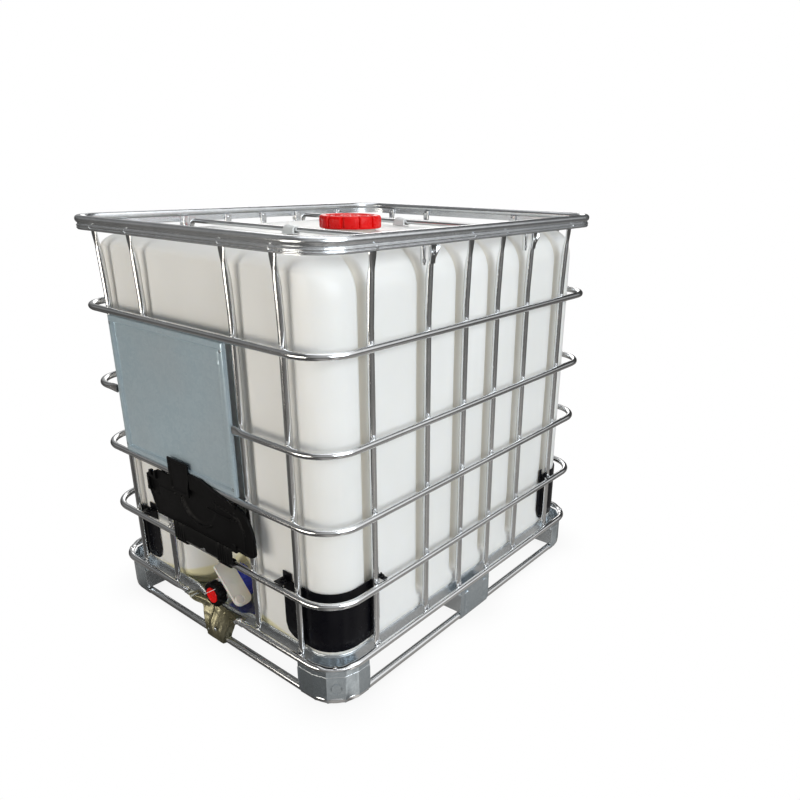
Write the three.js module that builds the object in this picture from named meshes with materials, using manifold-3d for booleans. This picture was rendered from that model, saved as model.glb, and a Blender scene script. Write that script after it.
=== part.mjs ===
// Intermediate bulk container: a white blow-moulded bottle in a galvanised tube cage,
// on a low steel pallet with a tray, sheet feet and a ground ring.
// Millimetres, +Z up. The valve side faces -Y, the long sides face +X and -X,
// and the origin is on the ground under the middle of the cage.
import * as THREE from 'three';
import { mergeVertices } from 'three/addons/utils/BufferGeometryUtils.js';
import Module from 'manifold-3d';

const wasm = await Module();
wasm.setup();

// ---- Driving dimensions -------------------------------------------------------------

const WIDTH = 1000; // overall, along X
const LENGTH = 1200; // overall cage, along Y
const HEIGHT = 1138; // ground to the top of the rim
const GAP = 0.3; // clearance between pieces that touch

const cage = {
  tube: 9, // tube radius of hoops and uprights
  corner: 95, // corner radius on the tube's centre line
  bottomRail: 113, // centre heights of the five horizontal tubes
  lower: 293,
  lowerMid: 490,
  upperMid: 678,
  upper: 898,
  frontUprights: [-356, -187, 187, 356], // X positions, front and back walls
  sideUprights: [-425, -225, -71.5, 71.5, 225, 425], // Y positions, both long sides
};
cage.halfX = WIDTH / 2 - cage.tube;
cage.halfY = LENGTH / 2 - cage.tube;

const rim = {
  tube: 10, // radius of the rolled top edge
  skirt: 36, // height of the whole rim section
  skirtInner: 3, // inner face of the skirt, inboard of the tube's centre line
};
rim.halfX = WIDTH / 2 - rim.tube;
rim.halfY = LENGTH / 2 - rim.tube;
rim.z = HEIGHT - rim.tube;

const upright = {
  inset: 2 * cage.tube + GAP, // uprights stand just inside the hoops
  bottom: 103,
  flatHalfDepth: 3.5,
  flatHalfWidth: 12,
};
upright.x = cage.halfX - upright.inset;
upright.y = cage.halfY - upright.inset;

const bars = {
  radius: 7,
  z: 1107,
  y: 225, // over the second and fifth uprights of the long sides
  legX: 456,
  legBottom: 1052,
  bend: 18,
};

const tray = {
  halfX: 458,
  halfY: 558,
  corner: 80,
  bottom: 84,
  top: 123,
  sheet: 2,
  valveNotch: 105, // half width of the dip in the front wall
  notchBottom: 105,
};

const foot = {
  faceX: WIDTH / 2 - 9,
  faceY: LENGTH / 2 - 9,
  corner: 95,
  height: 103,
  sheet: 3,
  cornerLegX: 141, // reach of a corner foot from the outer face, along X
  cornerLegY: 125,
  centreHalf: 72,
  plateTop: tray.bottom - GAP,
  plateReach: 68,
};

const ring = { tube: 10, inset: 14 };

const chute = {
  face: -LENGTH / 2 + 6, // plane of its two outer edges
  bottomHalf: 48, // half widths at the ground and at the top
  topHalf: 112,
  depth: 32, // of the trough, under the valve
  flatHeight: 24, // the foot is flat below this height
  flangeInner: 96,
  flangeOuter: 134,
  flangeReach: 26,
};

const bottle = {
  halfX: 457,
  halfY: 557,
  corner: 80,
  crownCorner: 6, // corner radius left where the shoulder meets the top
  wall: 3,
  bottom: tray.bottom + tray.sheet + GAP,
  bottomRadius: 50,
  shoulder: 90,
  top: 1095,
  channelHalf: 19,
  channelDepth: 18,
};

const neck = { outer: 74, inner: 69, top: 1122 };
const lid = { outer: 90, body: 86, inner: 78, bottom: 1100, roof: 1126, top: 1136, lugs: 12 };

const outlet = {
  z: 143,
  outer: 32,
  inner: 26,
  rootY: -446,
  mouthY: -505,
};

// The hollow in the bottle's front wall: half widths and crown heights at the wall and at
// the outlet's root.
const pocket = { mouthHalf: 205, rootHalf: 105, edgeZ: 122, mouthRise: 138, rootRise: 114, bell: 4 };

const valve = {
  bore: 25,
  wall: 31,
  stemY: -545,
  endY: -574,
  threadOuter: 29.5,
  stemRadius: 6,
  bossRadius: 13,
  bossTop: 50,
};

// Distances from the stem, along the lever, across it and up the stem.
const lever = {
  halfWidth: 27,
  farEnd: 74,
  nearEnd: -62,
  cornerRadius: 20,
  bottom: 54,
  top: 62,
  hubRadius: 16,
  buttonRadius: 14,
  buttonAlong: 56,
  buttonAcross: -11,
  buttonHeight: 4,
};

const cap = { outer: 37, inner: 30, openY: -562, faceY: -587, roof: 9.3, lugs: 8, discRadius: 22.5 };

const plate = { left: -330, right: 172, bottom: 500, top: 888, front: -598, depth: 12, sheet: 2 };

const guard = {
  sheet: 3.5,
  inner: 0.9, // clearance to the bottle
  bottom: 132,
  top: 302,
  legX: 285, // the sheet ends at this X on the short walls
  legY: 398, // and at this Y on the long walls
  frontTab: 32, // widths of the two tabs
  sideTab: 14,
  tabTop: 324,
};

const flap = {
  halfWidth: 232,
  bottom: 336,
  top: 474,
  front: -602,
  back: -592,
  clipX: 97,
  clipHalf: 24,
  clipOuter: 13.5,
  latchLeft: -112,
  latchRight: -28,
  latchTop: 538,
};

// ---- Materials ----------------------------------------------------------------------

function surface(color, roughness, metalness) {
  return () => new THREE.MeshStandardMaterial({ color, roughness, metalness });
}

const galvanised = surface(0xb4babc, 0.36, 0.9);
const galvanisedSheet = surface(0x9fabb0, 0.45, 0.85);
const whitePlastic = surface(0xe6e6e0, 0.5, 0);
const naturalPlastic = surface(0xc4c2b6, 0.5, 0);
const blackPlastic = surface(0x141517, 0.5, 0);
const redPlastic = surface(0xd8150f, 0.4, 0);
const bluePlastic = surface(0x1b2b8c, 0.4, 0);
const rubber = surface(0x222222, 0.8, 0);

// ---- Geometry helpers ---------------------------------------------------------------

const model = new THREE.Group();

function add(name, geometry, material) {
  const mesh = new THREE.Mesh(geometry, material());
  mesh.name = name;
  model.add(mesh);
  return mesh;
}

function signedVolume(geometry) {
  const position = geometry.attributes.position;
  const index = geometry.index;
  const a = new THREE.Vector3();
  const b = new THREE.Vector3();
  const c = new THREE.Vector3();
  let volume = 0;
  for (let i = 0; i < index.count; i += 3) {
    a.fromBufferAttribute(position, index.getX(i));
    b.fromBufferAttribute(position, index.getX(i + 1));
    c.fromBufferAttribute(position, index.getX(i + 2));
    volume += a.dot(b.cross(c)) / 6;
  }
  return volume;
}

// Merges shared vertices and turns every face outwards.
function closed(geometry) {
  geometry.deleteAttribute('normal');
  geometry.deleteAttribute('uv');
  const merged = mergeVertices(geometry, 1e-3);
  if (signedVolume(merged) < 0) {
    const index = merged.index;
    for (let i = 0; i < index.count; i += 3) {
      const second = index.getX(i + 1);
      index.setX(i + 1, index.getX(i + 2));
      index.setX(i + 2, second);
    }
  }
  return merged;
}

function toSolid(geometry) {
  const merged = closed(geometry);
  const mesh = new wasm.Mesh({
    numProp: 3,
    vertProperties: new Float32Array(merged.attributes.position.array),
    triVerts: new Uint32Array(merged.index.array),
  });
  return new wasm.Manifold(mesh);
}

function toGeometry(solid) {
  const mesh = solid.getMesh();
  const geometry = new THREE.BufferGeometry();
  geometry.setAttribute('position', new THREE.BufferAttribute(mesh.vertProperties, 3));
  geometry.setIndex(new THREE.BufferAttribute(mesh.triVerts, 1));
  return geometry;
}

function join(geometries) {
  return geometries.map(toSolid).reduce((sum, solid) => sum.add(solid));
}

function box(x0, x1, y0, y1, z0, z1) {
  const geometry = new THREE.BoxGeometry(x1 - x0, y1 - y0, z1 - z0);
  geometry.translate((x0 + x1) / 2, (y0 + y1) / 2, (z0 + z1) / 2);
  return geometry;
}

// A cylinder with its axis along X, Y or Z between two stations.
function rod(axis, radius, from, to, sides = 24) {
  const geometry = new THREE.CylinderGeometry(radius, radius, to - from, sides);
  geometry.translate(0, (from + to) / 2, 0);
  if (axis === 'x') geometry.rotateZ(-Math.PI / 2);
  if (axis === 'z') geometry.rotateX(Math.PI / 2);
  return geometry;
}

// A round piece about the Y axis, from a closed list of [radius, y] corners.
function turned(profile, sides = 32) {
  const points = profile.map(([radius, y]) => new THREE.Vector2(radius, y));
  points.push(points[0].clone());
  return new THREE.LatheGeometry(points, sides);
}

// The same about the Z axis, from [radius, z] corners.
function turnedUp(profile, sides = 32) {
  return turned(profile, sides).rotateX(Math.PI / 2);
}

// A skin of rings: place(column, row) gives each point, and the two ends are closed
// by fans about the point that place gives for a null column.
function loft(columns, rows, place) {
  const geometry = new THREE.CylinderGeometry(1, 1, 1, columns, rows - 1);
  const position = geometry.attributes.position;
  for (let i = 0; i < position.count; i++) {
    const x = position.getX(i);
    const z = position.getZ(i);
    const row = Math.round((position.getY(i) + 0.5) * (rows - 1));
    const turn = Math.atan2(x, z) / (2 * Math.PI);
    const column = (Math.round(turn * columns) + columns) % columns;
    const onAxis = Math.hypot(x, z) < 0.5;
    const point = place(onAxis ? null : column, row);
    position.setXYZ(i, point.x, point.y, point.z);
  }
  return closed(geometry);
}

// A sheet: place(u, v, w) maps the unit cube, with u and v along it and w through it.
function sheet(uSteps, vSteps, place) {
  const geometry = new THREE.BoxGeometry(1, 1, 1, uSteps, vSteps, 1);
  const position = geometry.attributes.position;
  for (let i = 0; i < position.count; i++) {
    const u = position.getX(i) + 0.5;
    const v = position.getY(i) + 0.5;
    const w = position.getZ(i) + 0.5;
    const point = place(u, v, w);
    position.setXYZ(i, point.x, point.y, point.z);
  }
  return closed(geometry);
}

// A path through listed stations, with a section at every station.
class StationPath extends THREE.Curve {
  constructor(points) {
    super();
    this.points = points;
  }

  getPoint(t, target = new THREE.Vector3()) {
    const scaled = t * (this.points.length - 1);
    const index = Math.min(Math.floor(scaled + 1e-9), this.points.length - 2);
    return target.lerpVectors(this.points[index], this.points[index + 1], scaled - index);
  }

  getPointAt(u, target) {
    return this.getPoint(u, target);
  }

  getTangentAt(u, target = new THREE.Vector3()) {
    const index = Math.round(u * (this.points.length - 1));
    const here = this.points[index];
    const before = this.points[index - 1] ?? here;
    const after = this.points[index + 1] ?? here;
    const arriving = here.clone().sub(before).normalize();
    const leaving = after.clone().sub(here).normalize();
    return target.addVectors(arriving, leaving).normalize();
  }
}

function sweep(points, section) {
  const path = new StationPath(points);
  const shape = new THREE.Shape(section);
  return new THREE.ExtrudeGeometry(shape, { steps: points.length - 1, extrudePath: path });
}

function roundSection(radius, sides = 8) {
  const points = [];
  for (let i = 0; i < sides; i++) {
    const angle = ((i + 0.5) * 2 * Math.PI) / sides;
    const reach = radius / Math.cos(Math.PI / sides);
    points.push(new THREE.Vector2(reach * Math.cos(angle), reach * Math.sin(angle)));
  }
  return points;
}

const CORNERS = [
  { x: 1, y: -1, from: -90 },
  { x: 1, y: 1, from: 0 },
  { x: -1, y: 1, from: 90 },
  { x: -1, y: -1, from: 180 },
];

function degrees(angle) {
  return THREE.MathUtils.degToRad(angle);
}

function cornerPoint(halfX, halfY, radius, corner, share, z) {
  const angle = degrees(corner.from + 90 * share);
  const x = corner.x * (halfX - radius) + radius * Math.cos(angle);
  const y = corner.y * (halfY - radius) + radius * Math.sin(angle);
  return new THREE.Vector3(x, y, z);
}

// A rounded rectangle walked anticlockwise from startX to endX on the front or back.
function loopPath({ halfX, halfY, radius, z, side, startX, endX }, steps = 6) {
  const first = side === 'front' ? 0 : 2;
  const y = side === 'front' ? -halfY : halfY;
  const points = [new THREE.Vector3(startX, y, z)];
  for (let i = 0; i < 4; i++) {
    const corner = CORNERS[(first + i) % 4];
    for (let step = 0; step <= steps; step++) {
      points.push(cornerPoint(halfX, halfY, radius, corner, step / steps, z));
    }
  }
  points.push(new THREE.Vector3(endX, y, z));
  return points;
}

// The butt joint of a closed ring is in the middle of the back wall.
const SEAM = { side: 'back', startX: -GAP / 2, endX: GAP / 2 };

function roundedRectangle(halfX, halfY, radius, steps = 6) {
  const points = [];
  for (const corner of CORNERS) {
    for (let step = 0; step <= steps; step++) {
      const point = cornerPoint(halfX, halfY, radius, corner, step / steps, 0);
      points.push(new THREE.Vector2(point.x, point.y));
    }
  }
  return points;
}

function slab(points, z0, z1) {
  const geometry = new THREE.ExtrudeGeometry(new THREE.Shape(points), {
    depth: z1 - z0,
    bevelEnabled: false,
    steps: 1,
  });
  return geometry.translate(0, 0, z0);
}

// ---- Cage ---------------------------------------------------------------------------

function hoop(name, z, gap = SEAM) {
  const path = loopPath({ halfX: cage.halfX, halfY: cage.halfY, radius: cage.corner, z, ...gap });
  add(name, closed(sweep(path, roundSection(cage.tube))), galvanised);
}

// Rolled edge with a ribbed skirt. The section's first axis points down, its second inboard.
function rimSection() {
  const points = [];
  const inner = rim.skirtInner;
  const outer = -7;
  for (let angle = 150; angle <= 320; angle += 34) {
    const x = rim.tube * Math.cos(degrees(angle));
    const y = rim.tube * Math.sin(degrees(angle));
    points.push(new THREE.Vector2(x, y));
  }
  const skirtTop = rim.tube + 1;
  const skirtBottom = rim.skirt - rim.tube;
  const skirtMiddle = (skirtTop + skirtBottom) / 2;
  points.push(new THREE.Vector2(skirtTop, outer + 1));
  points.push(new THREE.Vector2(skirtMiddle - 2, outer));
  points.push(new THREE.Vector2(skirtMiddle, outer + 1));
  points.push(new THREE.Vector2(skirtMiddle + 2, outer));
  points.push(new THREE.Vector2(skirtBottom, outer + 1.5));
  points.push(new THREE.Vector2(skirtBottom, inner));
  points.push(new THREE.Vector2(skirtTop - 2, inner));
  for (let angle = 50; angle <= 110; angle += 30) {
    const x = rim.tube * Math.cos(degrees(angle));
    const y = rim.tube * Math.sin(degrees(angle));
    points.push(new THREE.Vector2(x, y));
  }
  return points;
}

function buildRim() {
  const path = loopPath({
    halfX: rim.halfX,
    halfY: rim.halfY,
    radius: cage.corner,
    z: rim.z,
    ...SEAM,
  });
  add('top_rim', closed(sweep(path, rimSection())), galvanised);
}

// An upright is a round tube, pressed flat behind the bottom rail and behind the rim.
function uprightGeometry() {
  const flatten = HEIGHT - rim.skirt - 6;
  const top = rim.z - rim.tube - GAP;
  const topShift = rim.halfY - rim.skirtInner - GAP - upright.flatHalfDepth - upright.y;
  const bottomShift = cage.tube - upright.flatHalfDepth;
  const { flatHalfDepth: thin, flatHalfWidth: wide } = upright;
  const round = cage.tube;
  const rows = [
    { z: upright.bottom, depth: thin, width: wide, shift: bottomShift },
    { z: upright.bottom + 16, depth: thin, width: wide, shift: bottomShift },
    { z: upright.bottom + 34, depth: round, width: round, shift: 0 },
    { z: flatten - 50, depth: round, width: round, shift: 0 },
    { z: flatten - 20, depth: thin + 1, width: wide, shift: 4 },
    { z: flatten, depth: thin, width: wide, shift: topShift },
    { z: top, depth: thin, width: wide, shift: topShift },
  ];
  return loft(8, rows.length, (column, index) => {
    const row = rows[index];
    if (column === null) return new THREE.Vector3(0, row.shift, row.z);
    const angle = ((column + 0.5) * 2 * Math.PI) / 8;
    const x = row.width * Math.sin(angle);
    const y = row.shift + row.depth * Math.cos(angle);
    return new THREE.Vector3(x, y, row.z);
  });
}

function buildUprights() {
  cage.frontUprights.forEach((x, index) => {
    const front = uprightGeometry().rotateZ(Math.PI).translate(x, -upright.y, 0);
    add(`upright_front_${index + 1}`, front, galvanised);
    const back = uprightGeometry().translate(x, upright.y, 0);
    add(`upright_back_${index + 1}`, back, galvanised);
  });
  cage.sideUprights.forEach((y, index) => {
    const right = uprightGeometry().rotateZ(-Math.PI / 2).translate(upright.x, y, 0);
    add(`upright_right_${index + 1}`, right, galvanised);
    const left = uprightGeometry().rotateZ(Math.PI / 2).translate(-upright.x, y, 0);
    add(`upright_left_${index + 1}`, left, galvanised);
  });
}

// A rod across the top with both ends bent down inside the uprights.
function topBar(name, y) {
  const points = [new THREE.Vector3(-bars.legX, y, bars.legBottom)];
  const centreX = bars.legX - bars.bend;
  const centreZ = bars.z - bars.bend;
  for (let step = 0; step <= 3; step++) {
    const angle = degrees(180 - 30 * step);
    const x = -centreX + bars.bend * Math.cos(angle);
    points.push(new THREE.Vector3(x, y, centreZ + bars.bend * Math.sin(angle)));
  }
  const farHalf = points.map((point) => new THREE.Vector3(-point.x, y, point.z));
  points.push(...farHalf.reverse());
  add(name, closed(sweep(points, roundSection(bars.radius))), galvanised);
}

// A moulded saddle that stands on the bottle and bridges the bar.
function barClip(name, y) {
  const base = bottle.top + GAP;
  const legInner = bars.radius + 1;
  const outer = 15;
  const crown = bars.z + bars.radius + 1;
  const arch = [
    new THREE.Vector2(-outer, base),
    new THREE.Vector2(-legInner, base),
    new THREE.Vector2(-legInner, crown),
    new THREE.Vector2(legInner, crown),
    new THREE.Vector2(legInner, base),
    new THREE.Vector2(outer, base),
    new THREE.Vector2(outer, crown - 2),
    new THREE.Vector2(legInner, crown + 6),
    new THREE.Vector2(-legInner, crown + 6),
    new THREE.Vector2(-outer, crown - 2),
  ];
  const halfLength = 22;
  const geometry = slab(arch, -halfLength, halfLength);
  geometry.rotateX(Math.PI / 2);
  geometry.rotateZ(Math.PI / 2);
  add(name, closed(geometry.translate(0, y, 0)), whitePlastic);
}

// A shallow folded sheet with its open side towards the bottle.
function buildPlate() {
  const back = plate.front + plate.depth;
  const outer = box(plate.left, plate.right, plate.front, back, plate.bottom, plate.top);
  const inner = box(
    plate.left + plate.sheet,
    plate.right - plate.sheet,
    plate.front + plate.sheet,
    back + 1,
    plate.bottom + plate.sheet,
    plate.top - plate.sheet,
  );
  add('sign_plate', toGeometry(toSolid(outer).subtract(toSolid(inner))), galvanisedSheet);
}

function buildCage() {
  buildRim();
  hoop('hoop_upper', cage.upper);
  hoop('hoop_upper_mid', cage.upperMid, { side: 'front', startX: 176, endX: -345 });
  hoop('hoop_lower_mid', cage.lowerMid);
  hoop('hoop_lower', cage.lower);
  hoop('bottom_rail', cage.bottomRail, { side: 'front', startX: 112, endX: -112 });
  buildUprights();
  topBar('top_bar_front', -bars.y);
  topBar('top_bar_back', bars.y);
  barClip('bar_clip_front', -bars.y);
  barClip('bar_clip_back', bars.y);
  buildPlate();
}

// ---- Pallet -------------------------------------------------------------------------

function buildTray() {
  const outer = slab(
    roundedRectangle(tray.halfX, tray.halfY, tray.corner),
    tray.bottom,
    tray.top,
  );
  const inner = slab(
    roundedRectangle(
      tray.halfX - tray.sheet,
      tray.halfY - tray.sheet,
      tray.corner - tray.sheet,
    ),
    tray.bottom + tray.sheet,
    tray.top + 1,
  );
  const notch = box(
    -tray.valveNotch,
    tray.valveNotch,
    -tray.halfY - 5,
    -tray.halfY + 10,
    tray.notchBottom,
    tray.top + 5,
  );
  const solid = toSolid(outer).subtract(toSolid(inner)).subtract(toSolid(notch));
  add('tray', toGeometry(solid), galvanisedSheet);
}

function buildGroundRing() {
  const path = loopPath({
    halfX: foot.faceX - ring.inset,
    halfY: foot.faceY - ring.inset,
    radius: foot.corner - ring.inset,
    z: ring.tube,
    ...SEAM,
  });
  add('ground_ring', closed(sweep(path, roundSection(ring.tube))), galvanised);
}

// Outline of a corner foot from its front end, round the corner, to its side end.
function cornerFootOutline(inset) {
  const halfX = foot.faceX - inset;
  const halfY = foot.faceY - inset;
  const points = [new THREE.Vector2(foot.faceX - foot.cornerLegX, -halfY)];
  for (let step = 0; step <= 8; step++) {
    const point = cornerPoint(halfX, halfY, foot.corner - inset, CORNERS[0], step / 8, 0);
    points.push(new THREE.Vector2(point.x, point.y));
  }
  points.push(new THREE.Vector2(halfX, -foot.faceY + foot.cornerLegY));
  return points;
}

// The front right corner foot: curved wall, bearing plate and two end returns.
function cornerFootGeometry() {
  const outline = [...cornerFootOutline(0), ...cornerFootOutline(foot.sheet).reverse()];
  const wall = slab(outline, 0, foot.height);
  const endX = foot.faceX - foot.cornerLegX;
  const endY = -foot.faceY + foot.cornerLegY;
  const plateOutline = [...cornerFootOutline(foot.sheet / 2), new THREE.Vector2(endX, endY)];
  const plateBottom = foot.plateTop - foot.sheet;
  const bearing = slab(plateOutline, plateBottom, foot.plateTop);
  const clear = 2 * ring.tube + 2;
  const frontReturn = box(
    endX,
    endX + foot.sheet,
    -foot.faceY + 1,
    -foot.faceY + foot.plateReach,
    clear,
    plateBottom + 1,
  );
  const sideReturn = box(
    foot.faceX - foot.plateReach,
    foot.faceX - 1,
    endY - foot.sheet,
    endY,
    clear,
    plateBottom + 1,
  );
  return toGeometry(join([wall, bearing, frontReturn, sideReturn]));
}

// A foot in the middle of a wall, built for the wall that faces +X.
function centreFootGeometry(face) {
  const half = foot.centreHalf;
  const wall = box(face - foot.sheet, face, -half, half, 0, foot.height);
  const plateBottom = foot.plateTop - foot.sheet;
  const inner = face - foot.plateReach;
  const bearing = box(inner, face - 1, -half, half, plateBottom, foot.plateTop);
  const clear = 2 * ring.tube + 2;
  const ends = [-half, half - foot.sheet].map((y) =>
    box(inner, face - 1, y, y + foot.sheet, clear, plateBottom + 1),
  );
  return toGeometry(join([wall, bearing, ...ends]));
}

// Mirrors a finished piece in X or Y, or both, and keeps its faces outwards.
function mirrored(geometry, signX, signY) {
  return closed(geometry.clone().scale(signX, signY, 1));
}

function buildFeet() {
  const corner = cornerFootGeometry();
  add('foot_front_right', closed(corner.clone()), galvanisedSheet);
  add('foot_front_left', mirrored(corner, -1, 1), galvanisedSheet);
  add('foot_back_right', mirrored(corner, 1, -1), galvanisedSheet);
  add('foot_back_left', mirrored(corner, -1, -1), galvanisedSheet);
  add('foot_right', centreFootGeometry(foot.faceX), galvanisedSheet);
  add('foot_left', mirrored(centreFootGeometry(foot.faceX), -1, 1), galvanisedSheet);
  add('foot_back', centreFootGeometry(foot.faceY).rotateZ(Math.PI / 2), galvanisedSheet);
}

// The front middle foot is a drip chute: a trough that is wide and deep under the valve
// and closes to a narrow flat foot at the ground.
function buildChute() {
  const top = foot.height;
  const trough = sheet(12, 6, (u, v, w) => {
    const z = top * v;
    const across = 2 * u - 1;
    const halfWidth = chute.bottomHalf + (chute.topHalf - chute.bottomHalf) * v * Math.sqrt(v);
    const rise = Math.max(0, (z - chute.flatHeight) / (top - chute.flatHeight));
    const depth = chute.depth * rise * (1 - across * across);
    return new THREE.Vector3(across * halfWidth, chute.face + depth + foot.sheet * w, z);
  });
  const flanges = [-1, 1].map((side) => {
    const reach = chute.flangeOuter - chute.flangeInner;
    const x0 = side < 0 ? -chute.flangeOuter : chute.flangeInner;
    const y1 = chute.face + chute.flangeReach;
    return box(x0, x0 + reach, chute.face + 0.5, y1, top - foot.sheet, top);
  });
  add('valve_chute', toGeometry(join([trough, ...flanges])), galvanisedSheet);
}

// ---- Bottle, lid and guards ---------------------------------------------------------

// Columns of the bottle's outline: three for each upright's channel, and the corner arcs.
function bottleColumns() {
  const columns = [];
  const ys = cage.sideUprights;
  const xs = cage.frontUprights;
  const walls = [
    { places: ys, at: (half, y) => [half.x, y], inward: [-1, 0] },
    { places: [...xs].reverse(), at: (half, x) => [x, half.y], inward: [0, -1] },
    { places: [...ys].reverse(), at: (half, y) => [-half.x, y], inward: [1, 0] },
    { places: xs, at: (half, x) => [x, -half.y], inward: [0, 1] },
  ];
  const cornerSteps = 5;
  walls.forEach((wall, wallIndex) => {
    for (let step = 0; step <= cornerSteps; step++) {
      columns.push({ corner: CORNERS[wallIndex], share: step / cornerSteps });
    }
    const ascending = wallIndex === 0 || wallIndex === 3 ? 1 : -1;
    for (const place of wall.places) {
      for (const offset of [-1, 0, 1]) {
        const along = place + ascending * offset * bottle.channelHalf;
        const depth = offset === 0 ? 1 : 0;
        columns.push({ at: wall.at, along, inward: wall.inward, depth });
      }
    }
  });
  return columns;
}

// Rows of the bottle from the ground up: how far the skin is inset, how deep the channels
// are there, and the skin's slope. The channels run over the shoulder and fade out on top.
function bottleRows(offset) {
  const rows = [];
  for (const share of [0, 0.35, 0.7, 1]) {
    const angle = (share * Math.PI) / 2;
    const radius = bottle.bottomRadius - offset;
    const z = bottle.bottom + bottle.bottomRadius - radius * Math.cos(angle);
    rows.push({ z, inset: bottle.bottomRadius - radius * Math.sin(angle), channel: 0 });
  }
  rows.push({ z: bottle.bottom + bottle.bottomRadius + 30, inset: offset, channel: 1 });
  for (const share of [0, 0.25, 0.5, 0.75, 1]) {
    const angle = (share * Math.PI) / 2;
    const radius = bottle.shoulder - offset;
    const z = bottle.top - bottle.shoulder + radius * Math.sin(angle);
    rows.push({ z, inset: bottle.shoulder - radius * Math.cos(angle), channel: 1 - share });
  }
  return rows;
}

// The outer skin, or with an offset the inner one.
function bottleSkin(offset) {
  const columns = bottleColumns();
  const rows = bottleRows(offset);
  return loft(columns.length, rows.length, (column, rowIndex) => {
    const row = rows[rowIndex];
    const { z, inset } = row;
    if (column === null) return new THREE.Vector3(0, 0, z);
    const half = { x: bottle.halfX - inset, y: bottle.halfY - inset };
    const spot = columns[column];
    const radius = Math.max(bottle.corner - inset, bottle.crownCorner);
    if (spot.corner) {
      return cornerPoint(half.x, half.y, radius, spot.corner, spot.share, z);
    }
    const flatEnd = (spot.inward[0] === 0 ? half.x : half.y) - radius - 1;
    const [x, y] = spot.at(half, THREE.MathUtils.clamp(spot.along, -flatEnd, flatEnd));
    const sink = spot.depth * row.channel * bottle.channelDepth;
    return new THREE.Vector3(x + spot.inward[0] * sink, y + spot.inward[1] * sink, z);
  });
}

// The pocket in the front of the bottle that holds the valve: bell shaped on the front
// wall, narrower and lower towards the outlet.
function valvePocket(offset) {
  const mouthY = -bottle.halfY - 20;
  const rootY = outlet.rootY + offset;
  return sheet(14, 3, (u, v, w) => {
    const across = 2 * u - 1;
    const halfWidth = THREE.MathUtils.lerp(pocket.mouthHalf, pocket.rootHalf, v) + offset;
    const rise = THREE.MathUtils.lerp(pocket.mouthRise, pocket.rootRise, v);
    const crown = pocket.edgeZ + rise * Math.exp(-pocket.bell * across * across) + offset;
    const z = w < 0.5 ? bottle.bottom - 20 : crown;
    return new THREE.Vector3(across * halfWidth, mouthY + (rootY - mouthY) * v, z);
  });
}

function onOutletAxis(geometry) {
  return geometry.translate(0, 0, outlet.z);
}

function buildBottle() {
  const outer = toSolid(bottleSkin(0)).subtract(toSolid(valvePocket(0)));
  const inner = toSolid(bottleSkin(bottle.wall)).subtract(toSolid(valvePocket(bottle.wall)));
  const neckTube = rod('z', neck.outer, bottle.top - 2, neck.top, 40);
  const neckBore = rod('z', neck.inner, bottle.top - 20, neck.top + 5, 40);
  const outletTube = onOutletAxis(rod('y', outlet.outer, outlet.mouthY, outlet.rootY + 2, 32));
  const outletBore = onOutletAxis(rod('y', outlet.inner, outlet.mouthY - 5, outlet.rootY + 20, 32));
  const walls = outer.add(toSolid(neckTube)).add(toSolid(outletTube));
  const solid = walls.subtract(inner).subtract(toSolid(neckBore)).subtract(toSolid(outletBore));
  add('bottle', toGeometry(solid), whitePlastic);
}

// A round outline with evenly spaced grip lugs.
function luggedOutline(body, outer, lugs) {
  const points = [];
  const lugShares = [
    [-0.5, body],
    [-0.2, body],
    [-0.14, outer],
    [0.14, outer],
    [0.2, body],
  ];
  for (let lug = 0; lug < lugs; lug++) {
    for (const [share, radius] of lugShares) {
      const angle = ((lug + share) * 2 * Math.PI) / lugs;
      points.push(new THREE.Vector2(radius * Math.cos(angle), radius * Math.sin(angle)));
    }
  }
  return points;
}

function buildLid() {
  const shell = slab(luggedOutline(lid.body, lid.outer, lid.lugs), lid.bottom, lid.top);
  const hollow = rod('z', lid.inner, lid.bottom - 1, lid.roof, 40);
  add('lid', toGeometry(toSolid(shell).subtract(toSolid(hollow))), redPlastic);
  const gasket = turnedUp([
    [neck.inner + 1, neck.top + GAP],
    [lid.inner - 1, neck.top + GAP],
    [lid.inner - 1, lid.roof - GAP],
    [neck.inner + 1, lid.roof - GAP],
  ]);
  add('lid_gasket', closed(gasket), rubber);
}

// A thin sheet between the bottle's bottom corner and the cage, with a tab at each end
// that reaches out over the lower hoop.
function cornerGuardGeometry() {
  const inner = guard.inner;
  const radius = bottle.corner + inner;
  const outline = (extra) => {
    const halfX = bottle.halfX + inner + extra;
    const halfY = bottle.halfY + inner + extra;
    const points = [new THREE.Vector2(guard.legX, -halfY)];
    for (let step = 0; step <= 6; step++) {
      const point = cornerPoint(halfX, halfY, radius + extra, CORNERS[0], step / 6, 0);
      points.push(new THREE.Vector2(point.x, point.y));
    }
    points.push(new THREE.Vector2(halfX, -guard.legY));
    return points;
  };
  const body = slab([...outline(guard.sheet), ...outline(0).reverse()], guard.bottom, guard.top);
  const tabZ = cage.lower + cage.tube + 1;
  const wallX = bottle.halfX + inner;
  const wallY = bottle.halfY + inner;
  const frontX = [guard.legX, guard.legX + guard.frontTab];
  const sideY = [-guard.legY - guard.sideTab, -guard.legY];
  const lip = guard.sheet;
  const stub = guard.top - 5;
  const tabs = [
    box(...frontX, -wallY - lip, -wallY, stub, guard.tabTop),
    box(...frontX, -cage.halfY, -wallY - 1, tabZ, tabZ + lip),
    box(wallX, wallX + lip, ...sideY, stub, guard.tabTop),
    box(wallX + 1, cage.halfX, ...sideY, tabZ, tabZ + lip),
  ];
  return toGeometry(join([body, ...tabs]));
}

function buildGuards() {
  const corner = cornerGuardGeometry();
  add('corner_guard_front_right', closed(corner.clone()), blackPlastic);
  add('corner_guard_front_left', mirrored(corner, -1, 1), blackPlastic);
  add('corner_guard_back_right', mirrored(corner, 1, -1), blackPlastic);
  add('corner_guard_back_left', mirrored(corner, -1, -1), blackPlastic);
}

// ---- Valve --------------------------------------------------------------------------

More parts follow.
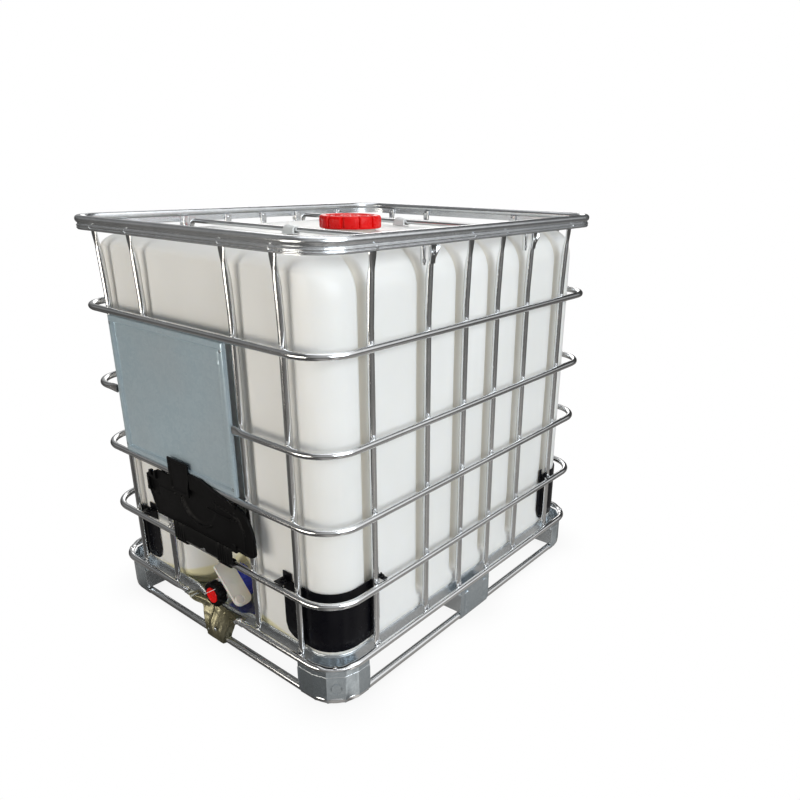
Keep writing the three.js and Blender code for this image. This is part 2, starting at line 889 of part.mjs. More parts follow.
// The valve's own frame: first axis along the closed lever, second axis along Y, and
// third axis along the stem, which leans 45 degrees towards +X.
const valveFrame = new THREE.Matrix4().makeBasis(
  new THREE.Vector3(Math.SQRT1_2, 0, -Math.SQRT1_2),
  new THREE.Vector3(0, 1, 0),
  new THREE.Vector3(Math.SQRT1_2, 0, Math.SQRT1_2),
);
valveFrame.setPosition(0, valve.stemY, outlet.z);

function buildValve() {
  const flangeY = outlet.mouthY - GAP;
  const flange = outlet.outer + 0.6;
  const nutRoot = outlet.mouthY + 33;
  const nutLip = flangeY - 7 - GAP;
  const nut = turned([
    [outlet.outer + GAP, nutRoot],
    [50, nutRoot],
    [50, nutLip - 4],
    [valve.wall + GAP, nutLip - 4],
    [valve.wall + GAP, nutLip],
    [flange + GAP, nutLip],
    [flange + GAP, outlet.mouthY + 4],
    [outlet.outer + GAP, outlet.mouthY + 4],
  ]);
  add('valve_nut', closed(onOutletAxis(nut)), bluePlastic);

  const tube = turned([
    [valve.bore, flangeY],
    [flange, flangeY],
    [flange, nutLip + GAP],
    [valve.wall, nutLip + GAP],
    [valve.wall, valve.stemY + 20],
    [valve.wall + 5, valve.stemY + 14],
    [valve.wall + 5, valve.stemY - 12],
    [valve.threadOuter, valve.stemY - 16],
    [valve.threadOuter, valve.endY],
    [valve.bore, valve.endY],
  ], 30);
  const boss = rod('z', valve.bossRadius, valve.bore + 2, valve.bossTop, 20);
  const stemBore = rod('z', valve.stemRadius + GAP, 0, valve.bossTop + 5, 20);
  boss.applyMatrix4(valveFrame);
  stemBore.applyMatrix4(valveFrame);
  const body = toSolid(onOutletAxis(tube)).add(toSolid(boss)).subtract(toSolid(stemBore));
  add('valve_body', toGeometry(body), naturalPlastic);

  const disc = rod('y', valve.bore - 0.6, valve.stemY - 2.5, valve.stemY + 2.5, 32);
  const stem = rod('z', valve.stemRadius, -20, lever.top - 3, 20).applyMatrix4(valveFrame);
  add('valve_stem', toGeometry(join([onOutletAxis(disc), stem])), blackPlastic);
}

// A broad strap with a hub over the stem and a raised boss near its lower end.
function buildLever() {
  const { halfWidth, farEnd, nearEnd, cornerRadius: round } = lever;
  const outline = new THREE.Shape();
  outline.moveTo(nearEnd, -halfWidth);
  outline.lineTo(farEnd - round, -halfWidth);
  outline.absarc(farEnd - round, -halfWidth + round, round, -Math.PI / 2, 0, false);
  outline.absarc(farEnd - round, halfWidth - round, round, 0, Math.PI / 2, false);
  outline.lineTo(nearEnd, halfWidth);
  const strap = new THREE.ExtrudeGeometry(outline, {
    depth: lever.top - lever.bottom,
    bevelEnabled: false,
    curveSegments: 5,
  }).translate(0, 0, lever.bottom);
  const hub = rod('z', lever.hubRadius, valve.bossTop + 1, lever.bottom + 2, 20);
  const button = rod('z', lever.buttonRadius, lever.top - 1, lever.top + lever.buttonHeight, 20);
  button.translate(lever.buttonAlong, lever.buttonAcross, 0);
  const socket = rod('z', valve.stemRadius + GAP, valve.bossTop, lever.top - 2, 20);
  const solid = join([strap, hub, button]).subtract(toSolid(socket));
  add('valve_lever', toGeometry(solid).applyMatrix4(valveFrame), naturalPlastic);
}

function buildOutletCap() {
  const depth = cap.openY - cap.faceY;
  const shell = slab(luggedOutline(cap.outer - 4, cap.outer, cap.lugs), 0, depth);
  const hollow = rod('z', cap.inner, -1, depth - cap.roof, 32);
  const solid = toSolid(shell).subtract(toSolid(hollow));
  const geometry = toGeometry(solid).rotateX(Math.PI / 2);
  add('outlet_cap', geometry.translate(0, cap.openY, outlet.z), blackPlastic);

  const disc = rod('y', cap.discRadius, cap.faceY - 3, cap.faceY - GAP, 32);
  add('cap_disc', closed(onOutletAxis(disc)), redPlastic);

  const roofY = cap.faceY + cap.roof;
  const gasket = turned([
    [valve.bore + 0.5, valve.endY - GAP],
    [cap.inner - 0.7, valve.endY - GAP],
    [cap.inner - 0.7, roofY + GAP],
    [valve.bore + 0.5, roofY + GAP],
  ]);
  add('cap_gasket', closed(onOutletAxis(gasket)), rubber);
}

// ---- Valve flap ---------------------------------------------------------------------

// The flap turns on the lower hoop, is stored upright and latches over the next hoop.
function buildFlap() {
  const cut = 46;
  const outline = new THREE.Shape();
  outline.moveTo(-flap.halfWidth, flap.bottom);
  outline.lineTo(flap.halfWidth, flap.bottom);
  outline.lineTo(flap.halfWidth, flap.top - 60);
  outline.quadraticCurveTo(flap.halfWidth - 8, flap.top - 8, flap.halfWidth - 90, flap.top);
  outline.lineTo(-flap.halfWidth + cut, flap.top);
  outline.lineTo(-flap.halfWidth, flap.top - 20);
  const panel = new THREE.ExtrudeGeometry(outline, {
    depth: flap.back - flap.front,
    bevelEnabled: false,
    curveSegments: 6,
  });
  panel.rotateX(Math.PI / 2).translate(0, flap.back, 0);

  const pieces = [panel];
  for (const side of [-1, 1]) {
    const x0 = side * flap.clipX - flap.clipHalf;
    const x1 = side * flap.clipX + flap.clipHalf;
    const barrel = rod('x', flap.clipOuter, x0, x1, 24).translate(0, -cage.halfY, cage.lower);
    const arm = box(x0, x1, flap.front, flap.back, cage.lower, flap.bottom + 5);
    pieces.push(barrel, arm);
  }
  const latchFace = -cage.halfY - cage.tube - GAP;
  const hookBottom = cage.lowerMid + cage.tube + 3.5;
  const { latchLeft, latchRight, latchTop } = flap;
  const lipEnd = plate.front - GAP;
  pieces.push(
    box(latchLeft, latchRight, latchFace - 5, latchFace, flap.top - 30, latchTop),
    box(latchLeft + 8, latchRight - 8, latchFace - 1, lipEnd, hookBottom, hookBottom + 4),
  );
  const hingeBore = rod('x', cage.tube / Math.cos(Math.PI / 8) + GAP, -200, 200, 24);
  hingeBore.translate(0, -cage.halfY, cage.lower);
  const solid = join(pieces).subtract(toSolid(hingeBore));
  add('valve_flap', toGeometry(solid), blackPlastic);
}

buildCage();
buildTray();
buildGroundRing();
buildFeet();
buildChute();
buildBottle();
buildLid();
buildGuards();
buildValve();
buildLever();
buildOutletCap();
buildFlap();

export default model;
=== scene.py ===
import math

import bmesh
import bpy
from mathutils import Matrix, Vector, noise


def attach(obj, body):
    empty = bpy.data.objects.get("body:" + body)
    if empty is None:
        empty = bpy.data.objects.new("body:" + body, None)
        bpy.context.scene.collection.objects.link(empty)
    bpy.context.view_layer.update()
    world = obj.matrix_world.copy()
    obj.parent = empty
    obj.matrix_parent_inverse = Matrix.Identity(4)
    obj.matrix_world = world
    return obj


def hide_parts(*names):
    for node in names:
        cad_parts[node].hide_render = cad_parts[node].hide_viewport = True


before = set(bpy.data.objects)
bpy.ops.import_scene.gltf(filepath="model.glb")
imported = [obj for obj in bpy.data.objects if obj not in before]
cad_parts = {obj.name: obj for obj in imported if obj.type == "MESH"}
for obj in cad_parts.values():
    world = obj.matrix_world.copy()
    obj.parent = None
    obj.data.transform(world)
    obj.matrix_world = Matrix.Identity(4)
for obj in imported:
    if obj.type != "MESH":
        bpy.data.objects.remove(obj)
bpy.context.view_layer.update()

CAGE = "frame_and_bottle"
FRONT_UPRIGHTS = (-0.356, -0.187, 0.187, 0.356)
SIDE_UPRIGHTS = (-0.425, -0.225, -0.0715, 0.0715, 0.225, 0.425)
HOOPS = (0.293, 0.49, 0.678, 0.898)
HOOP_X, HOOP_Y, HOOP_CORNER = 0.491, 0.591, 0.095
CORNER_X, CORNER_Y = HOOP_X - HOOP_CORNER, HOOP_Y - HOOP_CORNER
TUBE_OUTWARD, TUBE_UPWARD = 0.00895, 0.009
RIM_Z, RAIL_Z, FOOT_TOP, BAR_Y = 1.128, 0.113, 0.103, 0.225
BOTTLE_X, BOTTLE_Y, BOTTLE_CORNER, BOTTLE_SHOULDER = 0.457, 0.557, 0.08, 0.1363
VALVE_Y, OUTLET = -0.545, (0, 0, 0.143)
FORWARD, UPWARD = (0, -1, 0), (0, 0, 1)
QUARTERS = {
    "front_right": Matrix.Identity(4),
    "front_left": Matrix.Diagonal((-1, 1, 1, 1)),
    "back_right": Matrix.Diagonal((1, -1, 1, 1)),
    "back_left": Matrix.Diagonal((-1, -1, 1, 1)),
}


# ---- Camera -------------------------------------------------------------------------


def add_camera():
    azimuth, elevation, roll = (math.radians(a) for a in (38.3, 21.06, 0.72))
    level = math.cos(elevation)
    back = Vector((math.sin(azimuth) * level, -math.cos(azimuth) * level, math.sin(elevation)))
    right = Vector((math.cos(azimuth), math.sin(azimuth), 0))
    up = back.cross(right)
    rolled_right = right * math.cos(roll) + up * math.sin(roll)
    rolled_up = up * math.cos(roll) - right * math.sin(roll)
    data = bpy.data.cameras.new("camera")
    data.lens, data.sensor_width, data.clip_end = 31.62, 36, 200
    data.shift_x, data.shift_y = -0.0386, 0.0498
    camera = bpy.data.objects.new("camera", data)
    bpy.context.scene.collection.objects.link(camera)
    turn = Matrix((rolled_right, rolled_up, back)).transposed()
    camera.matrix_world = Matrix.Translation((1.513, -1.525, 1.261)) @ turn.to_4x4()
    bpy.context.scene.camera = camera


# ---- Materials ----------------------------------------------------------------------


def rgb(red, green, blue):
    return (red, green, blue, 1.0)


class Tree:
    """A node tree with helpers that add nodes and link them."""

    def __init__(self, tree):
        self.tree = tree

    def put(self, socket, value):
        """Links a socket to an input, or sets the input's value."""
        if isinstance(value, bpy.types.NodeSocket):
            self.tree.links.new(value, socket)
        else:
            socket.default_value = value

    def node(self, kind, inputs=None, **settings):
        node = self.tree.nodes.new(kind)
        for key, value in settings.items():
            setattr(node, key, value)
        for key, value in (inputs or {}).items():
            self.put(node.inputs[key], value)
        return node

    def maths(self, operation, first, second):
        return self.node("ShaderNodeMath", {0: first, 1: second}, operation=operation).outputs[0]

    def ramp(self, value, marks):
        """Grey levels between (position, level) marks."""
        node = self.node("ShaderNodeValToRGB", {"Fac": value})
        stops = node.color_ramp.elements
        for position, level in marks[1:-1]:
            stops.new(position).color = rgb(level, level, level)
        for stop, (position, level) in ((stops[0], marks[0]), (stops[-1], marks[-1])):
            stop.position, stop.color = position, rgb(level, level, level)
        return node.outputs["Color"]

    def bearing(self, split):
        """The direction round the vertical axis, from 0 to 1."""
        turn = self.maths("ARCTAN2", split.outputs["Y"], split.outputs["X"])
        return self.maths("ADD", self.maths("DIVIDE", turn, 2 * math.pi), 0.5)


class Look(Tree):
    """A node material with a Principled shader and helpers for its texture nodes."""

    def __init__(self, name, **values):
        self.material = bpy.data.materials.new(name)
        self.material.use_nodes = True
        super().__init__(self.material.node_tree)
        self.shader = self.tree.nodes["Principled BSDF"]
        for key, value in values.items():
            self.shader.inputs[key.replace("_", " ")].default_value = value
        self.place = self.node("ShaderNodeTexCoord").outputs["Object"]

    def stretched(self, scale):
        return self.node("ShaderNodeMapping", {"Vector": self.place, "Scale": scale}).outputs[0]

    def noise(self, scale, detail=3.0, vector=None, rough=0.5):
        inputs = {"Vector": vector or self.place, "Scale": scale, "Detail": detail, "Roughness": rough}
        return self.node("ShaderNodeTexNoise", inputs).outputs["Fac"]

    def cells(self, scale, vector):
        """The three random values of Voronoi cells."""
        cells = self.node("ShaderNodeTexVoronoi", {"Vector": vector, "Scale": scale})
        return self.node("ShaderNodeSeparateColor", {0: cells.outputs["Color"]}).outputs

    def span(self, value, low, high, source=(0.3, 0.7)):
        inputs = {0: value, 1: source[0], 2: source[1], 3: low, 4: high}
        return self.node("ShaderNodeMapRange", inputs).outputs[0]

    def mix(self, factor, first, second):
        node = self.node("ShaderNodeMix", data_type="RGBA", blend_type="MIX")
        for key, value in (("Factor", factor), ("A", first), ("B", second)):
            self.put([s for s in node.inputs if s.name == key and s.enabled][0], value)
        return [s for s in node.outputs if s.enabled][0]

    def attribute(self, name):
        return self.node("ShaderNodeAttribute", attribute_name=name).outputs["Fac"]

    def finish(self, slot, color, rough, *heights):
        """The material and its slot name. heights are (socket, strength, distance), finest first."""
        self.put(self.shader.inputs["Base Color"], color)
        self.put(self.shader.inputs["Roughness"], rough)
        normal = None
        for socket, strength, distance in heights:
            inputs = {"Height": socket, "Strength": strength, "Distance": distance}
            if normal is not None:
                inputs["Normal"] = normal
            normal = self.node("ShaderNodeBump", inputs).outputs[0]
        self.put(self.shader.inputs["Normal"], normal)
        return self.material, slot


def zinc_tube():
    look = Look("zinc_tube", Metallic=1.0)
    base = look.mix(look.span(look.noise(5, 3), 0, 1), rgb(0.72, 0.73, 0.74), rgb(0.88, 0.89, 0.9))
    streaks = look.noise(50, 2, look.stretched((1, 1, 0.12)))
    color = look.mix(look.span(streaks, 0, 0.14), base, rgb(0.5, 0.51, 0.52))
    rough = look.span(look.noise(14, 3), 0.14, 0.22)
    bumps = (look.noise(380, 2), 0.015, 0.0003), (look.noise(40, 2), 0.03, 0.0006)
    return look.finish("zinc_tube", color, rough, *bumps)


def zinc_sheet(name, light, dark, metal):
    look = Look(name, Metallic=metal)
    ripple = look.node("ShaderNodeTexNoise", {"Vector": look.place, "Scale": 40.0})
    warped = look.mix(0.08, look.place, ripple.outputs["Color"])
    base = look.mix(look.span(look.cells(85, warped)[0], 0, 1, (0, 1)), dark, light)
    color = look.mix(look.span(look.noise(5, 4), 0, 0.35), base, rgb(0.52, 0.55, 0.57))
    rough = look.span(look.cells(210, warped)[1], 0.21, 0.27, (0, 1))
    bumps = (look.noise(120, 2), 0.012, 0.0006), (look.noise(6, 2), 0.1, 0.004)
    return look.finish("zinc_sheet", color, rough, *bumps)


def bottle_plastic():
    look = Look("bottle_plastic", IOR=1.5, Subsurface_Weight=0.22, Subsurface_Scale=0.012)
    look.shader.inputs["Subsurface Radius"].default_value = (1.0, 0.9, 0.75)
    unshaded = look.mix(look.span(look.noise(3, 3), 0, 1), rgb(0.8, 0.8, 0.775), rgb(0.86, 0.86, 0.84))
    # Painted shade: the channels beside the uprights are painted darker and beige.
    groove_shaded = look.mix(look.attribute("groove"), unshaded, rgb(0.7, 0.655, 0.56))
    # Olive painted shade under the valve pocket's crease, in the bay round the valve and on the rounded base.
    color = look.mix(look.attribute("low_shade"), groove_shaded, rgb(0.76, 0.72, 0.47))
    rough = look.span(look.noise(14, 4), 0.3, 0.46)
    bumps = (look.noise(260, 2), 0.05, 0.0005), (look.noise(9, 3), 0.14, 0.004)
    return look.finish("white_plastic", color, rough, *bumps)


def moulded(name, base, second, roughness, grain=500.0, subsurface=0.0, specular=0.5):
    look = Look(name, IOR=1.48, Specular_IOR_Level=specular)
    if subsurface:
        look.shader.inputs["Subsurface Weight"].default_value = subsurface
        look.shader.inputs["Subsurface Scale"].default_value = 0.006
    color = look.mix(look.span(look.noise(18, 4), 0, 1), base, second)
    rough = look.span(look.noise(50, 4), roughness - 0.06, roughness + 0.1)
    bumps = (look.noise(grain, 2), 0.12, 0.0004), (look.noise(30, 3), 0.1, 0.0012)
    slots = {"cloudy_plastic": "natural_plastic", "guard_plastic": "black_plastic"}
    return look.finish(slots.get(name, name), color, rough, *bumps)


def crumpled_tin():
    look = Look("crumpled_tin", Metallic=0.75)
    folds = look.noise(26, 4, look.stretched((1, 1, 0.5)), 0.6)
    # Painted shade: the colour is darkest in the hollows of the same folds that bump the sheet.
    base = look.mix(look.span(folds, 0, 1), rgb(0.1, 0.095, 0.055), rgb(0.33, 0.315, 0.225))
    color = look.mix(look.span(look.noise(9, 3), 0, 0.6), base, rgb(0.19, 0.17, 0.09))
    rough = look.span(look.noise(60, 4), 0.24, 0.42)
    return look.finish("zinc_sheet", color, rough, (look.noise(160, 3), 0.1, 0.001), (folds, 0.45, 0.006))


# Each finish is a material and a slot name.
ZINC_TUBE = zinc_tube()
ZINC_SHEET = zinc_sheet("zinc_sheet", rgb(0.8, 0.84, 0.87), rgb(0.68, 0.72, 0.75), 0.85)
ZINC_BRIGHT = zinc_sheet("zinc_bright", rgb(0.88, 0.9, 0.92), rgb(0.78, 0.8, 0.82), 0.95)
RIM_ZINC = (ZINC_BRIGHT[0], "zinc_tube")
FOOT_ZINC = zinc_sheet("foot_zinc", rgb(0.58, 0.65, 0.7), rgb(0.49, 0.56, 0.61), 0.92)
PLATE_ZINC = zinc_sheet("plate_zinc", rgb(0.5, 0.62, 0.69), rgb(0.45, 0.57, 0.64), 0.4)
CHUTE_TIN = crumpled_tin()
BOTTLE = bottle_plastic()
WHITE = moulded("white_plastic", rgb(0.8, 0.81, 0.8), rgb(0.86, 0.87, 0.86), 0.35)
NATURAL = moulded("natural_plastic", rgb(0.74, 0.7, 0.66), rgb(0.82, 0.79, 0.75), 0.36, 400, 0.25)
CLOUDY = moulded("cloudy_plastic", rgb(0.58, 0.6, 0.54), rgb(0.74, 0.76, 0.72), 0.2, 400, 0.3)
BLACK = moulded("black_plastic", rgb(0.0022, 0.0022, 0.0025), rgb(0.004, 0.004, 0.0045), 0.42, specular=0.14)
GUARD = moulded("guard_plastic", rgb(0.002, 0.002, 0.004), rgb(0.004, 0.004, 0.006), 0.3, specular=0.18)
RED = moulded("red_plastic", rgb(0.72, 0.003, 0.003), rgb(0.84, 0.006, 0.005), 0.27, 300, specular=0.28)
BLUE = moulded("blue_plastic", rgb(0.008, 0.02, 0.4), rgb(0.014, 0.034, 0.52), 0.3)
RUBBER = moulded("gasket_rubber", rgb(0.012, 0.012, 0.012), rgb(0.02, 0.02, 0.02), 0.6)


# ---- Mesh helpers (all sizes in metres) ---------------------------------------------


def ease(value, low=0.0, high=1.0):
    """0 below low, 1 above high, and a smooth step between."""
    share = min(max((value - low) / (high - low), 0.0), 1.0)
    return share * share * (3 - 2 * share)


def lerp(first, second, share):
    return first + (second - first) * share


def steps(low, high, count):
    return [lerp(low, high, i / count) for i in range(count + 1)]


def arc(x, y, radius, start, end, count):
    """Points on a circle, from one angle in degrees to another."""
    angles = [math.radians(a) for a in steps(start, end, count)]
    return [(x + radius * math.cos(a), y + radius * math.sin(a)) for a in angles]


def rounded(gap, radius):
    """How far a rounded edge falls back at a gap from the edge."""
    return radius * (1 - math.sqrt(max(0.0, 1 - (1 - min(gap / radius, 1)) ** 2)))


def wobble(point, scale, seed=0.0):
    """Smooth noise about zero, from -1 to 1."""
    return noise.noise(Vector(point) * scale + Vector((seed, seed * 1.7, -seed)))


def angles_round(sides):
    return [2 * math.pi * k / sides for k in range(sides)]


class Shape:
    """Points and faces gathered from several parts of one piece."""

    def __init__(self):
        self.points = []
        self.faces = []

    def grid(self, rows, wrap_across=True, wrap_along=False, caps=False):
        start, across = len(self.points), len(rows[0])
        self.points += [Vector(p) for row in rows for p in row]
        for i in range(len(rows) if wrap_along else len(rows) - 1):
            for j in range(across if wrap_across else across - 1):
                k, m = (i + 1) % len(rows), (j + 1) % across
                corners = (i * across + j, i * across + m, k * across + m, k * across + j)
                self.faces.append([start + c for c in corners])
        if caps:
            self.faces.append([start + j for j in range(across)][::-1])
            self.faces.append([start + (len(rows) - 1) * across + j for j in range(across)])
        return self

    def sheet(self, rows):
        return self.grid(rows, wrap_across=False)

    def box(self, low, high, turn=Matrix.Identity(4)):
        start = len(self.points)
        for x in (low[0], high[0]):
            for y in (low[1], high[1]):
                self.points += [turn @ Vector((x, y, z)) for z in (low[2], high[2])]
        for face in ((0, 1, 3, 2), (4, 6, 7, 5), (0, 4, 5, 1), (2, 3, 7, 6), (0, 2, 6, 4), (1, 5, 7, 3)):
            self.faces.append([start + c for c in face])
        return self

    def tube(self, path, radius, sides=16, flat=lambda i: (1, 1)):
        """A round rod along a path. flat(i) gives scales for the two section axes."""
        rows = []
        side = None
        for i, point in enumerate(path):
            before, after = path[max(i - 1, 0)], path[min(i + 1, len(path) - 1)]
            along = (Vector(after) - Vector(before)).normalized()
            if side is None:
                side = Vector((0, 1, 0)).cross(along) if abs(along.y) < 0.9 else along.orthogonal()
            side = (side - along * side.dot(along)).normalized()
            other = along.cross(side)
            a, b = (radius * scale for scale in flat(i))
            section = [side * a * math.cos(t) + other * b * math.sin(t) for t in angles_round(sides)]
            rows.append([Vector(point) + spot for spot in section])
        return self.grid(rows, caps=True)

    def turned(self, profile, centre=(0, 0, 0), axis="z", sides=48, outline=None, turn=Matrix.Identity(4)):
        """A round piece from [radius, height] corners. outline(angle, radius) may reshape it."""
        rows = []
        for radius, height in profile:
            row = []
            for angle in angles_round(sides):
                r = outline(angle, radius) if outline else radius
                a, b = r * math.cos(angle), r * math.sin(angle)
                point = Vector((a, b, height)) if axis == "z" else Vector((a, height, b))
                row.append(turn @ (point + Vector(centre)))
            rows.append(row)
        ring = min(profile[0][0], profile[-1][0]) > 0.003
        return self.grid(rows, wrap_along=ring, caps=not ring)

    def take(self, other, matrix):
        """Adds a copy of another shape, moved by a matrix."""
        start = len(self.points)
        self.points += [matrix @ p for p in other.points]
        self.faces += [[start + c for c in f] for f in other.faces]
        return self

    def moved(self, matrix):
        return Shape().take(self, matrix)


def make(name, shape, finish, body=CAGE, nodes=(), sharp=32, bevel=0.0, solid=0.0, painted_shades=None):
    """Turns a Shape into a piece that rides on a body and stands for CAD nodes."""
    mesh = bpy.data.meshes.new(name)
    mesh.from_pydata([tuple(p) for p in shape.points], [], shape.faces)
    mesh.validate()
    work = bmesh.new()
    work.from_mesh(mesh)
    bmesh.ops.recalc_face_normals(work, faces=work.faces)
    work.to_mesh(mesh)
    work.free()
    for polygon in mesh.polygons:
        polygon.use_smooth = True
    mesh.set_sharp_from_angle(angle=math.radians(sharp))
    for key, values in (painted_shades or {}).items():
        mesh.attributes.new(key, "FLOAT", "POINT").data.foreach_set("value", values)
    material, slot = finish
    mesh.materials.append(material)
    piece = bpy.data.objects.new(name, mesh)
    bpy.context.scene.collection.objects.link(piece)
    if solid:
        modifier = piece.modifiers.new("thickness", "SOLIDIFY")
        modifier.thickness, modifier.offset = solid, -1
    if bevel:
        modifier = piece.modifiers.new("edges", "BEVEL")
        modifier.width, modifier.segments, modifier.harden_normals = bevel, 2, False
        modifier.limit_method, modifier.angle_limit = "ANGLE", math.radians(40)
    if nodes:
        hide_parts(*nodes)
    if body:
        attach(piece, body)
    return piece


def loop(half_x, half_y, radius, start_x=0.0, end_x=0.0, pitch=0.03, corner_steps=16):
    """(x, y, outward normal) anticlockwise round a rounded rectangle, from the front wall."""
    in_x, in_y = half_x - radius, half_y - radius
    walls = (
        (start_x, -half_y, in_x, -half_y, (0, -1, 0)),
        (half_x, -in_y, half_x, in_y, (1, 0, 0)),
        (in_x, half_y, -in_x, half_y, (0, 1, 0)),
        (-half_x, in_y, -half_x, -in_y, (-1, 0, 0)),
        (-in_x, -half_y, end_x, -half_y, (0, -1, 0)),
    )
    corners = ((in_x, -in_y), (in_x, in_y), (-in_x, in_y), (-in_x, -in_y))
    stations = []
    for number, (x0, y0, x1, y1, normal) in enumerate(walls):
        count = max(int(math.hypot(x1 - x0, y1 - y0) / pitch), 1)
        for share in [i / count for i in range(count)]:
            stations.append((lerp(x0, x1, share), lerp(y0, y1, share), Vector(normal)))
        for x, y in corners[number : number + 1]:
            for i in range(corner_steps):
                angle = math.radians(90 * number - 90 + 90 * i / corner_steps)
                out = Vector((math.cos(angle), math.sin(angle), 0))
                stations.append((x + radius * out.x, y + radius * out.y, out))
    if start_x != end_x:
        stations.append((end_x, -half_y, Vector((0, -1, 0))))
    return stations


def sweep_loop(shape, stations, z, section, closed=True):
    """section(x, y) gives [(outward, upward)] corners at each station."""
    rows = []
    for x, y, out in stations:
        rows.append([Vector((x, y, z + up)) + out * away for away, up in section(x, y)])
    return shape.grid(rows, wrap_along=closed, caps=not closed)


def circle(depth, height, sides=18):
    return [(depth * math.cos(a), height * math.sin(a)) for a in angles_round(sides)]


def screw_head(shape, at, facing, radius=0.0055, height=0.003):
    """A pan head with a washer, facing along a direction."""
    turn = Vector(facing).to_track_quat("Z", "Y").to_matrix().to_4x4()
    profile = [(radius * 1.45, 0), (radius * 1.45, 0.0008), (radius, 0.001), (radius, height * 0.6)]
    profile += [(radius * 0.75, height), (radius * 0.3, height), (radius * 0.25, height * 0.55)]
    shape.turned(profile, sides=18, turn=Matrix.Translation(at) @ turn)


# ---- Cage ---------------------------------------------------------------------------


def add_rim():
    section = [(-0.003, -0.026), (-0.003, -0.0095)] + arc(0, 0, 0.01, 245, -40, 19)
    section += [(0.005, -0.0094), (0.0044, -0.0108), (0.005, -0.0124)]
    for bead in (-0.016, -0.022):
        section += [(0.0058, bead + 0.0029), (0.0071, bead + 0.002), (0.0077, bead + 0.0008)]
        section += [(0.0077, bead - 0.0008), (0.0071, bead - 0.0018), (0.0056, bead - 0.0026)]
    section.append((0.0055, -0.026))
    rim = sweep_loop(Shape(), loop(0.49, 0.59, HOOP_CORNER), RIM_Z, lambda x, y: section)
    for x in FRONT_UPRIGHTS:
        for side in (-1, 1):
            screw_head(rim, (x, side * 0.5965, 1.1095), (0, side, 0), 0.004, 0.0026)
    for y in (-0.425, -0.0715, 0.0715, 0.425):
        for side in (-1, 1):
            screw_head(rim, (side * 0.4965, y, 1.1095), (side, 0, 0), 0.004, 0.0026)
    make("rolled_rim", rim, RIM_ZINC, nodes=("top_rim",), sharp=40)


def crossing(x, y):
    """Nearness to the closest upright, 1 at its middle and 0 from 16 mm away."""
    short_side = abs(y) > abs(x) * 1.2 and abs(y) > 0.55
    place, uprights = (x, FRONT_UPRIGHTS) if short_side else (y, SIDE_UPRIGHTS)
    return 1 - ease(min(abs(place - u) for u in uprights), 0.004, 0.016)


def weld_spots(shape, z):
    """Four small weld beads where a hoop meets each upright."""
    spots = []
    for x in FRONT_UPRIGHTS:
        spots += [(x + dx, side * 0.5818, z + dx) for dx in (-0.0045, 0.0045) for side in (-1, 1)]
    for y in SIDE_UPRIGHTS:
        spots += [(side * 0.4818, y + dy, z + dy) for dy in (-0.0045, 0.0045) for side in (-1, 1)]
    ball = [(0.0002, -0.0022), (0.0018, -0.0014), (0.0022, 0), (0.0018, 0.0014), (0.0002, 0.0022)]
    for spot in spots:
        shape.turned(ball, spot, sides=8)


def add_hoops():
    def broken(x, y):
        """The hoop behind the sign plate is pressed flat at its two ends."""
        end = min(abs(x - 0.176), abs(x + 0.345)) if y < -0.58 else 1
        press = 1 - ease(end, 0.01, 0.045)
        return circle(TUBE_OUTWARD - 0.0052 * press, TUBE_UPWARD + 0.0035 * press)

    def whole(x, y):
        dent = 0.0009 * crossing(x, y)
        return [(a + (dent if a < 0 else 0), b) for a, b in circle(TUBE_OUTWARD, TUBE_UPWARD)]

    for name, z in zip(("hoop_lower", "hoop_lower_mid", "hoop_upper_mid", "hoop_upper"), HOOPS):
        if name == "hoop_upper_mid":
            stations = loop(HOOP_X, HOOP_Y, HOOP_CORNER, 0.176, -0.345, 0.008)
            shape = sweep_loop(Shape(), stations, z, broken, closed=False)
        else:
            shape = sweep_loop(Shape(), loop(HOOP_X, HOOP_Y, HOOP_CORNER, pitch=0.008), z, whole)
        weld_spots(shape, z)
        make(name + "_tube", shape, ZINC_TUBE, nodes=(name,), sharp=50)


def add_bottom_rail():
    """The rail is open in front of the valve, and pressed at its ends and its four corners."""

    def section(x, y):
        end = abs(abs(x) - 0.112) if y < -0.58 else 1
        press = 1 - ease(end, 0.022, 0.06)
        if abs(x) > CORNER_X and abs(y) > CORNER_Y:
            angle = math.degrees(math.atan2(abs(y) - CORNER_Y, abs(x) - CORNER_X))
            press = 1 - ease(abs(angle - 45), 12, 26)
        return circle(TUBE_OUTWARD - 0.0005 * press, TUBE_UPWARD - 0.0045 * press)

    stations = loop(HOOP_X, HOOP_Y, HOOP_CORNER, 0.112, -0.112, 0.008, 24)
    shape = sweep_loop(Shape(), stations, RAIL_Z, section, closed=False)
    weld_spots(shape, RAIL_Z)
    corner = HOOP_CORNER * math.sqrt(0.5)
    for sx in (-1, 1):
        for sy in (-1, 1):
            at = (sx * (CORNER_X + corner), sy * (CORNER_Y + corner), 0.1172)
            screw_head(shape, at, UPWARD, 0.0048, 0.003)
    for side in (-1, 1):
        screw_head(shape, (side * 0.124, -0.5905, 0.1175), UPWARD, 0.0052, 0.0036)
    make("bottom_rail_tube", shape, ZINC_TUBE, nodes=("bottom_rail",), sharp=50)


